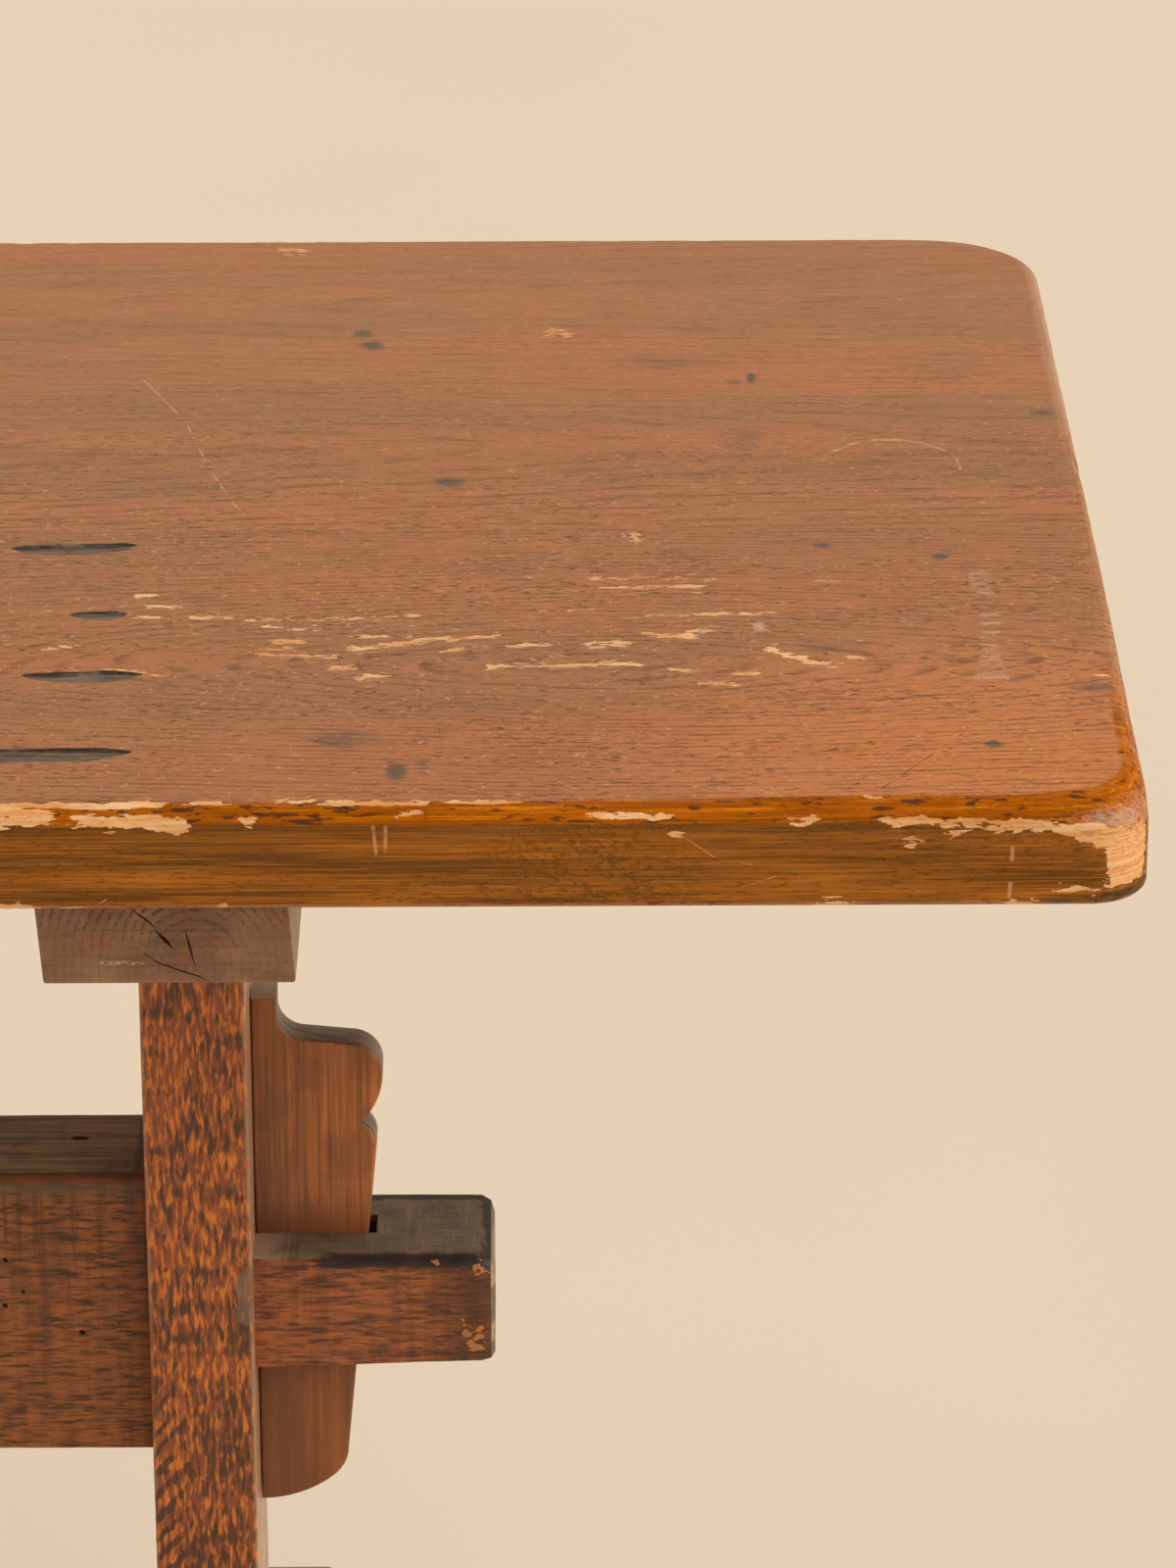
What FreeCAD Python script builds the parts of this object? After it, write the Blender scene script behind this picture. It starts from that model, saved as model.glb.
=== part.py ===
import FreeCAD, Part
import math
import os
import Sketcher
from types import SimpleNamespace

# A plank-topped trestle table. Each end stands on a foot, a post and a batten, and one stretcher runs
# between the posts. Its tenons pass through the posts, and a tapered tusk in each tenon locks it.
# The origin is on the floor under the middle of the top, +X along the top, +Z up. All lengths are in mm.
SIZES = {
    # Overall, and the three boards of the top
    "table_height": 750,
    "top_length": 1900,
    "top_depth": 680,
    "top_thickness": 42,
    "front_board_width": 296,
    "back_board_width": 219,
    "front_corner_radius": 24,
    "back_corner_radius": 55,
    "top_arris": 9,
    "under_arris": 3,
    # Loose tongues in the seams between the boards
    "tongue_width": 24,
    "tongue_thickness": 10,
    "tongue_stop": 70,
    # Posts and their stub tenons
    "post_overhang": 366,
    "post_thickness": 46.5,
    "post_width": 100,
    "post_arris": 1.5,
    "post_tenon_thickness": 24,
    "post_tenon_width": 66,
    "upper_tenon_length": 40,
    "lower_tenon_length": 55,
    # Battens under the top
    "batten_width": 104.5,
    "batten_height": 55,
    "batten_inset": 50,
    "batten_shift": 3.75,
    "batten_bevel": 5,
    # Feet
    "foot_width": 88,
    "foot_height": 80,
    "foot_length": 600,
    "foot_toe_height": 40,
    "foot_slope_length": 90,
    "foot_pad_length": 130,
    "foot_arch_run": 20,
    "foot_arch_height": 12,
    # Pegs through the stub tenons
    "peg_diameter": 10,
    "peg_spacing": 34,
    "peg_clearance": 0.1,
    # Screws that hold the boards to the battens
    "screw_diameter": 5,
    "screw_length": 60,
    "screw_head_diameter": 10,
    "screw_head_height": 4,
    "screw_clearance": 0.1,
    "counterbore_diameter": 13,
    "counterbore_depth": 20,
    # Stretcher, its through tenons and their slots
    "stretcher_rise": 297.5,
    "stretcher_height": 138,
    "stretcher_thickness": 64,
    "tenon_shoulder": 41.5,
    "tenon_height": 55,
    "tenon_reach": 108.5,
    "tenon_chamfer": 6,
    "slot_recess": 4,
    "slot_clearance": 0.3,
    "slot_flare": 3.8,
    # Tusks, measured outwards from the post and up or down from the tenon
    "tusk_gap": 0.3,
    "tusk_thickness": 18,
    "tusk_setback": 3,
    "tusk_width": 58.4,
    "tusk_neck_width": 11.5,
    "tusk_neck_step": 8,
    "tusk_neck_radius": 13,
    "tusk_ledge_fall": 2,
    "tusk_lobe_radius": 14.5,
    "tusk_lobe_fall": 24.7,
    "tusk_notch_depth": 10,
    "tusk_beak_height": 11.2,
    "tusk_shoulder_inset": 3.1,
    "tusk_shoulder_height": 44,
    "tusk_toe_width": 40.3,
    "tusk_toe_drop": 83,
    "tusk_heel_height": 15,
    "tusk_heel_width": 7,
    "tusk_tip_fall": 12,
    # How far every cut runs past the face it opens in
    "overrun": 2,
}

# Places of the screws: across each board, and either side of a batten's middle line
FRONT_SCREW_SHARES = (0.3, 0.78)
MIDDLE_SCREW_SHARES = (0.6, 0.85)
BACK_SCREW_SHARES = (0.2, 0.62)
SCREW_ROW_SHARE = 0.3

SAME_PLACE = 1e-4
UP = FreeCAD.Vector(0, 0, 1)
ALONG = FreeCAD.Rotation(FreeCAD.Vector(0, 1, 0), 90)
UPRIGHT = FreeCAD.Rotation()
HALF_TURN = FreeCAD.Placement(FreeCAD.Vector(), FreeCAD.Rotation(UP, 180))

# The left trestle is the right one turned half round, so a place on it has both signs changed
SIDES = {"right": 1, "left": -1}


class Length:
    """A size: its value, and the expression that ties it to the sheet."""

    def __init__(self, value, text):
        self.value = value
        self.text = text

    def joined(self, sign, value, other):
        words = other.text if isinstance(other, Length) else repr(other)
        return Length(value, f"({self.text} {sign} {words})")

    def __add__(self, other):
        return self.joined("+", self.value + other.value, other)

    def __sub__(self, other):
        return self.joined("-", self.value - other.value, other)

    def __mul__(self, other):
        factor = other.value if isinstance(other, Length) else other
        return self.joined("*", self.value * factor, other)

    def __truediv__(self, other):
        divisor = other.value if isinstance(other, Length) else other
        return self.joined("/", self.value / divisor, other)

    def __neg__(self):
        return Length(-self.value, f"(-{self.text})")


def start_document():
    """The document, with its sheet of sizes."""
    document = FreeCAD.newDocument("trestle_table")
    sheet = document.addObject("Spreadsheet::Sheet", "Sizes")
    for row, (name, value) in enumerate(SIZES.items(), start=1):
        sheet.set(f"A{row}", name)
        sheet.set(f"B{row}", str(value))
        sheet.setAlias(f"B{row}", name)
    document.recompute()
    return document


doc = start_document()
size = SimpleNamespace(**{name: Length(value, f"Sizes.{name}") for name, value in SIZES.items()})
pieces = []

# Places that several pieces share
half_length = size.top_length / 2
half_depth = size.top_depth / 2
top_under = size.table_height - size.top_thickness
front_seam = size.front_board_width - half_depth
back_seam = half_depth - size.back_board_width
post_outer = half_length - size.post_overhang
post_inner = post_outer - size.post_thickness
post_middle = (post_outer + post_inner) / 2
batten_middle = post_middle + size.batten_shift
batten_under = top_under - size.batten_height
screw_seat = batten_under + size.counterbore_depth
screw_bore = size.screw_diameter + size.screw_clearance * 2
tenon_under = size.stretcher_rise + size.tenon_shoulder
tenon_top = tenon_under + size.tenon_height
tenon_end = post_outer + size.tenon_reach
tusk_inner = post_outer + size.tusk_gap
upper_peg_height = batten_under + size.upper_tenon_length / 2
lower_peg_height = size.foot_height - size.lower_tenon_length / 2


def bind(item, path, length):
    """Ties one property to a size, or leaves it at zero."""
    if isinstance(length, Length):
        item.setExpression(path, length.text)


def place(item, corner):
    for axis, length in zip("xyz", corner):
        bind(item, f"Placement.Base.{axis}", length)


def list_piece(item, label, sign=1):
    """Lists an object as one piece of the table, turned half round for the left side."""
    item.Label = label
    if sign < 0:
        item.Placement = HALF_TURN
    pieces.append(item)
    return item


def new_body(label, sign=1):
    return list_piece(doc.addObject("PartDesign::Body", label), label, sign)


def block(body, label, corner, spans, cut=False):
    """A box that adds to the body, or is cut out of it."""
    kind = "SubtractiveBox" if cut else "AdditiveBox"
    box = body.newObject(f"PartDesign::{kind}", label)
    for side, span in zip(("Length", "Width", "Height"), spans):
        bind(box, side, span)
    place(box, corner)
    return box


def drill(body, label, start, direction, diameter, depth):
    """A round hole from a start point, up or along +X."""
    hole = body.newObject("PartDesign::SubtractiveCylinder", label)
    hole.Placement = FreeCAD.Placement(FreeCAD.Vector(), direction)
    bind(hole, "Radius", diameter / 2)
    bind(hole, "Height", depth)
    place(hole, start)
    return hole


def arc_between(start, end, radius, outward):
    """The arc of under a half circle from start to end. Outward is to the right of the way it goes."""
    chord = end - start
    left = FreeCAD.Vector(-chord.y, chord.x, 0).normalize()
    offset = math.sqrt(max(radius**2 - chord.Length**2 / 4, 0))
    centre = (start + end) / 2 + left * (offset if outward else -offset)
    first, last = (start, end) if outward else (end, start)
    angles = [math.atan2(point.y - centre.y, point.x - centre.x) for point in (first, last)]
    return Part.ArcOfCircle(Part.Circle(centre, UP, radius), *angles)


def outline(body, label, plane_role, offset, corners, arcs):
    """A closed outline, anticlockwise, tied corner by corner to the sizes.

    arcs maps a side's number to its radius and whether it bulges outwards; the other sides are straight."""
    sketch = body.newObject("Sketcher::SketchObject", label)
    plane = next(item for item in body.Origin.OriginFeatures if item.Role == plane_role)
    sketch.AttachmentSupport = [(plane, "")]
    sketch.MapMode = "FlatFace"
    bind(sketch, "AttachmentOffset.Base.z", offset)
    points = [FreeCAD.Vector(*(getattr(length, "value", 0) for length in corner), 0) for corner in corners]
    ends = []
    for side, start in enumerate(points):
        end = points[(side + 1) % len(points)]
        if side in arcs:
            radius, outward = arcs[side]
            sketch.addGeometry(arc_between(start, end, radius.value, outward), False)
            ends.append((1, 2) if outward else (2, 1))
        else:
            sketch.addGeometry(Part.LineSegment(start, end), False)
            ends.append((1, 2))
    for side in range(len(corners)):
        after = (side + 1) % len(corners)
        sketch.addConstraint(Sketcher.Constraint("Coincident", side, ends[side][1], after, ends[after][0]))
    for side, corner in enumerate(corners):
        for kind, length in zip(("DistanceX", "DistanceY"), corner):
            start_value = getattr(length, "value", 0)
            rule = Sketcher.Constraint(kind, -1, 1, side, ends[side][0], start_value)
            name = f"{kind}_{side}"
            sketch.renameConstraint(sketch.addConstraint(rule), name)
            bind(sketch, f"Constraints.{name}", length)
    for side, (radius, _) in arcs.items():
        rule = Sketcher.Constraint("Radius", side, radius.value)
        name = f"Radius_{side}"
        sketch.renameConstraint(sketch.addConstraint(rule), name)
        bind(sketch, f"Constraints.{name}", radius)
    return sketch


def raise_outline(body, sketch, label, depth, kind="Pad", both_ways=True):
    """A pad or pocket of a sketch, both ways from its plane or one way along its normal."""
    feature = body.newObject(f"PartDesign::{kind}", label)
    feature.Profile = sketch
    feature.SideType = "Symmetric" if both_ways else "One side"
    bind(feature, "Length", depth)
    return feature


def ease_edges(body, label, kind, width, wanted):
    """A fillet or chamfer on each edge of the body that the test wants."""
    doc.recompute()
    base = body.Tip
    names = [f"Edge{number}" for number, edge in enumerate(base.Shape.Edges, start=1) if wanted(edge)]
    feature = body.newObject(f"PartDesign::{kind}", label)
    feature.Base = (base, names)
    bind(feature, "Radius" if kind == "Fillet" else "Size", width)
    return feature


def middle_of(edge):
    return edge.valueAt((edge.FirstParameter + edge.LastParameter) / 2)


def near(first, second):
    return abs(first - second) < SAME_PLACE


def lies_at_height(edge, height):
    box = edge.BoundBox
    return near(box.ZMin, height) and near(box.ZMax, height)


def screw_places(sign):
    """The axis of each screw in a batten, as it stands on the right-hand side.

    The screws are in turn on one side of the batten's middle line and the other."""
    boards = (
        (-half_depth, size.front_board_width, FRONT_SCREW_SHARES),
        (front_seam, back_seam - front_seam, MIDDLE_SCREW_SHARES),
        (back_seam, size.back_board_width, BACK_SCREW_SHARES),
    )
    row = size.batten_width * SCREW_ROW_SHARE
    for edge, width, shares in boards:
        for share, across in zip(shares, (row, -row)):
            yield batten_middle + across, (edge + width * share) * sign


def top_board(label, near_edge, far_edge, near_radius=None, far_radius=None):
    """One board of the top. An edge with a radius is an outer edge; an edge without one is a seam."""
    body = new_body(label)
    corners = []
    arcs = {}
    if near_radius:
        corners += [(-half_length, near_edge + near_radius), (-half_length + near_radius, near_edge)]
        corners += [(half_length - near_radius, near_edge), (half_length, near_edge + near_radius)]
        arcs[0] = arcs[2] = (near_radius, True)
    else:
        corners += [(-half_length, near_edge), (half_length, near_edge)]
    if far_radius:
        first = len(corners)
        corners += [(half_length, far_edge - far_radius), (half_length - far_radius, far_edge)]
        corners += [(-half_length + far_radius, far_edge), (-half_length, far_edge - far_radius)]
        arcs[first] = arcs[first + 2] = (far_radius, True)
    else:
        corners += [(half_length, far_edge), (-half_length, far_edge)]
    sketch = outline(body, f"{label}_outline", "XY_Plane", top_under, corners, arcs)
    raise_outline(body, sketch, f"{label}_plank", size.top_thickness, both_ways=False)
    edges = ((near_edge, near_radius), (far_edge, far_radius))
    seams = [edge for edge, radius in edges if not radius]

    def outer_at(height):
        return lambda edge: lies_at_height(edge, height) and not any(
            near(middle_of(edge).y, seam.value) for seam in seams
        )

    ease_edges(body, f"{label}_arris", "Fillet", size.top_arris, outer_at(size.table_height.value))
    ease_edges(body, f"{label}_under_arris", "Fillet", size.under_arris, outer_at(top_under.value))
    for number, seam in enumerate(seams):
        block(body, f"{label}_groove_{number}", *tongue_box(seam), cut=True)
    return body


def tongue_box(seam):
    """The corner and spans of a tongue that lies across a seam, half in each board."""
    corner = (
        size.tongue_stop - half_length,
        seam - size.tongue_width / 2,
        size.table_height - (size.top_thickness + size.tongue_thickness) / 2,
    )
    return corner, (size.top_length - size.tongue_stop * 2, size.tongue_width, size.tongue_thickness)


def make_top():
    boards = {
        "top_front_board": (-half_depth, front_seam, size.front_corner_radius, None),
        "top_middle_board": (front_seam, back_seam, None, None),
        "top_back_board": (back_seam, half_depth, None, size.back_corner_radius),
    }
    bodies = {label: (top_board(label, *edges), edges[0], edges[1]) for label, edges in boards.items()}
    depth = screw_seat + size.screw_length - top_under + size.overrun
    for side, sign in SIDES.items():
        for number, (x, y) in enumerate(screw_places(sign)):
            along = y * sign
            body = next(item for item, low, high in bodies.values() if low.value < along.value < high.value)
            start = (x * sign, along, top_under - size.overrun)
            drill(body, f"{side}_pilot_{number}", start, UPRIGHT, screw_bore, depth)
    for label, seam in (("top_front_tongue", front_seam), ("top_back_tongue", back_seam)):
        block(new_body(label), f"{label}_strip", *tongue_box(seam))


def post_tenon_box(low, length):
    """The corner and spans of a stub tenon in the middle of a post."""
    corner = (post_middle - size.post_tenon_thickness / 2, -size.post_tenon_width / 2, low)
    return corner, (size.post_tenon_thickness, size.post_tenon_width, length)


def through_tenon_box(low_x, length):
    """The corner and spans of a stretch of the right-hand through tenon."""
    corner = (low_x, -size.stretcher_thickness / 2, tenon_under)
    return corner, (length, size.stretcher_thickness, size.tenon_height)


def drill_pegs(body, label, middle, width, height):
    """Two peg holes along +X, through a piece of the given width."""
    start_x = middle - width / 2 - size.overrun
    bore = size.peg_diameter + size.peg_clearance * 2
    depth = width + size.overrun * 2
    for number, y in enumerate((-size.peg_spacing / 2, size.peg_spacing / 2)):
        drill(body, f"{label}_peg_hole_{number}", (start_x, y, height), ALONG, bore, depth)


def make_post(side, sign):
    label = f"{side}_post"
    body = new_body(label, sign)
    shaft_height = batten_under - size.foot_height
    corner = (post_inner, -size.post_width / 2, size.foot_height)
    block(body, f"{label}_shaft", corner, (size.post_thickness, size.post_width, shaft_height))

    def upright(edge):
        return near(edge.Length, shaft_height.value)

    ease_edges(body, f"{label}_arris", "Chamfer", size.post_arris, upright)
    block(body, f"{label}_upper_tenon", *post_tenon_box(batten_under, size.upper_tenon_length))
    foot_depth = size.lower_tenon_length
    block(body, f"{label}_lower_tenon", *post_tenon_box(size.foot_height - foot_depth, foot_depth))
    mortise = through_tenon_box(post_inner - size.overrun, size.post_thickness + size.overrun * 2)
    block(body, f"{label}_mortise", *mortise, cut=True)
    drill_pegs(body, f"{label}_upper", post_middle, size.post_thickness, upper_peg_height)
    drill_pegs(body, f"{label}_lower", post_middle, size.post_thickness, lower_peg_height)


def make_batten(side, sign):
    label = f"{side}_batten"
    body = new_body(label, sign)
    length = size.top_depth - size.batten_inset * 2
    corner = (batten_middle - size.batten_width / 2, -length / 2, batten_under)
    block(body, f"{label}_bar", corner, (size.batten_width, length, size.batten_height))

    def under_end(edge):
        return lies_at_height(edge, batten_under.value) and near(abs(middle_of(edge).y), length.value / 2)

    ease_edges(body, f"{label}_bevel", "Chamfer", size.batten_bevel, under_end)
    low = batten_under - size.overrun
    block(body, f"{label}_mortise", *post_tenon_box(low, size.upper_tenon_length + size.overrun), cut=True)
    drill_pegs(body, label, batten_middle, size.batten_width, upper_peg_height)
    holes = {
        "counterbore": (size.counterbore_diameter, screw_seat - low),
        "screw_hole": (screw_bore, size.batten_height + size.overrun * 2),
    }
    for number, (x, y) in enumerate(screw_places(sign)):
        for hole, (diameter, depth) in holes.items():
            drill(body, f"{label}_{hole}_{number}", (x, y, low), UPRIGHT, diameter, depth)


def make_foot(side, sign):
    label = f"{side}_foot"
    body = new_body(label, sign)
    toe = size.foot_length / 2
    pad = toe - size.foot_pad_length
    arch = pad - size.foot_arch_run
    slope = toe - size.foot_slope_length
    front_half = [(pad, 0), (toe, 0), (toe, size.foot_toe_height), (slope, size.foot_height)]
    back_half = [(-along, height) for along, height in reversed(front_half)]
    crown = [(-arch, size.foot_arch_height), (arch, size.foot_arch_height)]
    sketch = outline(body, f"{label}_outline", "YZ_Plane", post_middle, front_half + back_half + crown, {})
    raise_outline(body, sketch, f"{label}_bar", size.foot_width)
    low = size.foot_height - size.lower_tenon_length
    block(body, f"{label}_mortise", *post_tenon_box(low, size.lower_tenon_length + size.overrun), cut=True)
    drill_pegs(body, label, post_middle, size.foot_width, lower_peg_height)


def group(label, members, sign):
    """Separate solids that share one node."""
    compound = doc.addObject("Part::Compound", label)
    compound.Links = members
    list_piece(compound, label, sign)


def rod(label, start, direction, diameter, length):
    cylinder = doc.addObject("Part::Cylinder", label)
    cylinder.Placement = FreeCAD.Placement(FreeCAD.Vector(), direction)
    bind(cylinder, "Radius", diameter / 2)
    bind(cylinder, "Height", length)
    place(cylinder, start)
    return cylinder


def make_pegs(label, sign, middle, width, height):
    members = []
    for number, y in enumerate((-size.peg_spacing / 2, size.peg_spacing / 2)):
        start = (middle - width / 2, y, height)
        members.append(rod(f"{label}_{number}", start, ALONG, size.peg_diameter, width))
    group(label, members, sign)


def make_screws(side, sign):
    """Screws driven up through the batten, each with its head against the floor of its counterbore."""
    label = f"{side}_batten_screws"
    members = []
    for number, (x, y) in enumerate(screw_places(sign)):
        under_head = (x, y, screw_seat)
        shank_name = f"{label}_shank_{number}"
        shank = rod(shank_name, under_head, UPRIGHT, size.screw_diameter, size.screw_length)
        head_face = (x, y, screw_seat - size.screw_head_height)
        head_name = f"{label}_head_{number}"
        head = rod(head_name, head_face, UPRIGHT, size.screw_head_diameter, size.screw_head_height)
        screw = doc.addObject("Part::Fuse", f"{label}_{number}")
        screw.Base = head
        screw.Tool = shank
        members.append(screw)
    group(label, members, sign)


# The tusk's outline, outwards from its straight inner edge and up from the tenon's upper face
shoulder_width = size.tusk_width - size.tusk_shoulder_inset
notch_width = size.tusk_width - size.tusk_notch_depth
notch_height = size.tusk_shoulder_height + size.tusk_beak_height
lobe_height = notch_height + size.tusk_lobe_fall
ledge_height = lobe_height + size.tusk_lobe_radius + size.tusk_ledge_fall
neck_height = ledge_height + size.tusk_neck_radius
head_height = neck_height + size.tusk_neck_step
tip_height = -(size.tenon_height + size.tusk_toe_drop)
heel_height = tip_height + size.tusk_tip_fall
toe_height = heel_height + size.tusk_heel_height
taper_share = (shoulder_width - size.tusk_toe_width) / (size.tusk_shoulder_height - toe_height)


def tangent_radius(run, rise):
    """The radius of an arc that leaves one end straight along the rise and goes over by the run."""
    return (run * run + rise * rise) / (run * 2)


def make_tusk(side, sign):
    label = f"{side}_tusk"
    body = new_body(label, sign)
    heel_width = size.tusk_toe_width - size.tusk_heel_width
    shape = [
        (0, tip_height),
        (heel_width, heel_height),
        (size.tusk_toe_width, toe_height),
        (shoulder_width, size.tusk_shoulder_height),
        (notch_width, notch_height),
        (size.tusk_width, lobe_height),
        (size.tusk_width - size.tusk_lobe_radius, lobe_height + size.tusk_lobe_radius),
        (size.tusk_neck_width + size.tusk_neck_radius, ledge_height),
        (size.tusk_neck_width, neck_height),
        (size.tusk_neck_width, head_height),
        (0, head_height),
    ]
    arcs = {
        0: (tangent_radius(size.tusk_tip_fall, heel_width), True),
        1: (tangent_radius(size.tusk_heel_width, size.tusk_heel_height), True),
        3: (tangent_radius(shoulder_width - notch_width, size.tusk_beak_height), True),
        4: (tangent_radius(size.tusk_notch_depth, size.tusk_lobe_fall), True),
        5: (size.tusk_lobe_radius, True),
        7: (size.tusk_neck_radius, False),
    }
    corners = [(outward + tusk_inner if outward else tusk_inner, up + tenon_top) for outward, up in shape]
    sketch = outline(body, f"{label}_outline", "XZ_Plane", -size.tusk_setback, corners, arcs)
    raise_outline(body, sketch, f"{label}_blade", size.tusk_thickness)


def cut_slot(body, label, sign):
    """The tusk's slot through a tenon. Its outer wall meets the tusk at the bottom and opens upwards."""
    depth_under_shoulder = size.tusk_shoulder_height + size.tenon_height
    low_x = tusk_inner + shoulder_width - depth_under_shoulder * taper_share + size.slot_clearance
    high_x = tusk_inner + shoulder_width - size.tusk_shoulder_height * taper_share + size.slot_flare
    lean_share = (high_x - low_x) / size.tenon_height
    inner_x = post_outer - size.slot_recess
    low = tenon_under - size.overrun
    high = tenon_top + size.overrun
    corners = [
        (inner_x, low),
        (low_x - size.overrun * lean_share, low),
        (high_x + size.overrun * lean_share, high),
        (inner_x, high),
    ]
    if sign < 0:
        corners = [(-across, up) for across, up in reversed(corners)]
    offset = size.tusk_setback * -sign
    sketch = outline(body, f"{label}_outline", "XZ_Plane", offset, corners, {})
    width = size.tusk_thickness + size.slot_clearance * 2
    raise_outline(body, sketch, label, width, kind="Pocket")


def make_stretcher():
    body = new_body("stretcher")
    corner = (-post_inner, -size.stretcher_thickness / 2, size.stretcher_rise)
    spans = (post_inner * 2, size.stretcher_thickness, size.stretcher_height)
    block(body, "stretcher_beam", corner, spans)
    block(body, "stretcher_tenons", *through_tenon_box(-tenon_end, tenon_end * 2))

    def tenon_end_edge(edge):
        spot = middle_of(edge)
        return near(abs(spot.x), tenon_end.value) and not near(spot.z, tenon_under.value)

    ease_edges(body, "stretcher_tenon_chamfer", "Chamfer", size.tenon_chamfer, tenon_end_edge)
    for side, sign in SIDES.items():
        cut_slot(body, f"{side}_slot", sign)


def make_trestle(side, sign):
    make_foot(side, sign)
    make_post(side, sign)
    make_batten(side, sign)
    make_screws(side, sign)
    make_pegs(f"{side}_upper_pegs", sign, batten_middle, size.batten_width, upper_peg_height)
    make_pegs(f"{side}_lower_pegs", sign, post_middle, size.foot_width, lower_peg_height)
    make_tusk(side, sign)


def check_model():
    """Every feature is sound, every cut removes something, and every piece is a valid solid."""
    for item in doc.Objects:
        if "Invalid" in item.State or "Error" in item.State:
            raise RuntimeError(f"{item.Label} failed: {item.State}")
        cuts = ("PartDesign::Pocket", "PartDesign::SubtractiveBox", "PartDesign::SubtractiveCylinder")
        if item.TypeId in cuts and not item.Shape.Volume < item.BaseFeature.Shape.Volume:
            raise RuntimeError(f"{item.Label} cuts nothing")
    for piece in pieces:
        if piece.Shape.isNull() or not piece.Shape.isValid():
            raise RuntimeError(f"{piece.Label} has no valid shape")


make_top()
for side_name, side_sign in SIDES.items():
    make_trestle(side_name, side_sign)
make_stretcher()
doc.recompute()
check_model()
os.makedirs("parts", exist_ok=True)
for finished in pieces:
    finished.Shape.exportStep(os.path.join("parts", f"{finished.Label}.step"))
    print(finished.Label, len(finished.Shape.Solids), round(finished.Shape.Volume))
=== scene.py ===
import math

import bmesh
import bpy
import numpy as np
from mathutils import Matrix, Vector


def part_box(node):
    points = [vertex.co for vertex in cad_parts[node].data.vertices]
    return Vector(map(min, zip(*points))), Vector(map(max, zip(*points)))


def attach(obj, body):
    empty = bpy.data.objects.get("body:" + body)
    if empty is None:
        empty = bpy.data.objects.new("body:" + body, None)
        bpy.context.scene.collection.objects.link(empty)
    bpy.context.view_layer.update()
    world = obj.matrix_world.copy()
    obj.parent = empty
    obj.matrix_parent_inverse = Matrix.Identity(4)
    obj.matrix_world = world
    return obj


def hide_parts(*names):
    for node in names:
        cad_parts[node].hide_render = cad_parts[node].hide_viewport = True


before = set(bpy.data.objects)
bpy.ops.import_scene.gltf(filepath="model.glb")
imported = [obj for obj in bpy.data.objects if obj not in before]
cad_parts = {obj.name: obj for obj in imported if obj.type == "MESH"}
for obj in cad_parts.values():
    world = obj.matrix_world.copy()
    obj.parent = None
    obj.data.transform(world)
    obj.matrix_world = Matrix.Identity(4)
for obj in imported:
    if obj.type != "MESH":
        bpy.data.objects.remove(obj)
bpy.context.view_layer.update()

MM = 0.001
WELD = 2e-6
SHARP_FROM = math.radians(38)
SIDES = {"right": 1, "left": -1}


def corners(node):
    """Lowest and highest corner of a node, as arrays in metres."""
    low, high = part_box(node)
    return np.array(low, float), np.array(high, float)


# Places of the top and of the right trestle, all read from the frame
front_low, front_high = corners("top_front_board")
_, back_high = corners("top_back_board")
top_z = front_high[2]
under_z = front_low[2]
half_length = front_high[0]
half_depth = back_high[1]
front_y = front_low[1]
post_low, post_high = corners("right_post")
batten_low, batten_high = corners("right_batten")
_, foot_high = corners("right_foot")
bar_low, bar_high = corners("stretcher")
tusk_low, tusk_high = corners("right_tusk")

# Named lengths that the boxes of the frame don't give
FRONT_CORNER = 24 * MM
BACK_CORNER = 55 * MM
END_BAND = 45 * MM
ARRIS_RUN = 8 * MM
ARRIS_RUN_GROWTH = 4 * MM
ARRIS_FALL = 5.5 * MM
END_ARRIS = 4.5 * MM
CORNER_RUN = 20 * MM
CORNER_FALL = 4.5 * MM
CORNER_BEFORE = 10 * MM
CORNER_ALONG = 30 * MM
CORNER_ACROSS = 18 * MM
END_WEAR_RUN = 4.5 * MM
END_WEAR_FALL = 6 * MM
END_WEAR_REACH = 0.28
BROAD_FROM, BROAD_TO = 0.70, 0.87
UNDER_ARRIS = 3 * MM
JUST_INSIDE = 0.1 * MM


# Smooth numbers for hand-made unevenness

def wander(points, cell, seed):
    """Smooth noise from -1 to 1 at the points, with bumps about one cell across."""
    table = np.random.default_rng(seed).uniform(-1, 1, 4099)
    place = np.asarray(points, float) / np.asarray(cell, float)
    base = np.floor(place).astype(np.int64)
    share = place - base
    share = share * share * (3 - 2 * share)
    total = np.zeros(len(base))
    for corner in np.ndindex(2, 2, 2):
        weight = np.prod(np.where(np.array(corner, bool), share, 1 - share), axis=1)
        spot = base + np.array(corner)
        key = (spot[:, 0] * 7349 + spot[:, 1] * 15731 + spot[:, 2] * 28387) % len(table)
        total += weight * table[key]
    return total


def smooth(value, low, high):
    """0 below low, 1 above high, and a soft step between."""
    share = np.clip((value - low) / (high - low), 0, 1)
    return share * share * (3 - 2 * share)


def hump(*parts):
    """1 in the middle of an elliptical patch and 0 outside it. Each part is an offset in patch radii."""
    reach = sum(np.square(part) for part in parts)
    return np.clip(1 - reach, 0, 1)


def oval(x, y, patch):
    """1 in the middle of an oval patch and 0 outside it. A patch is its middle and its half sizes."""
    middle_x, middle_y, half_x, half_y = patch
    return hump((x - middle_x) / half_x, (y - middle_y) / half_y)


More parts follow.
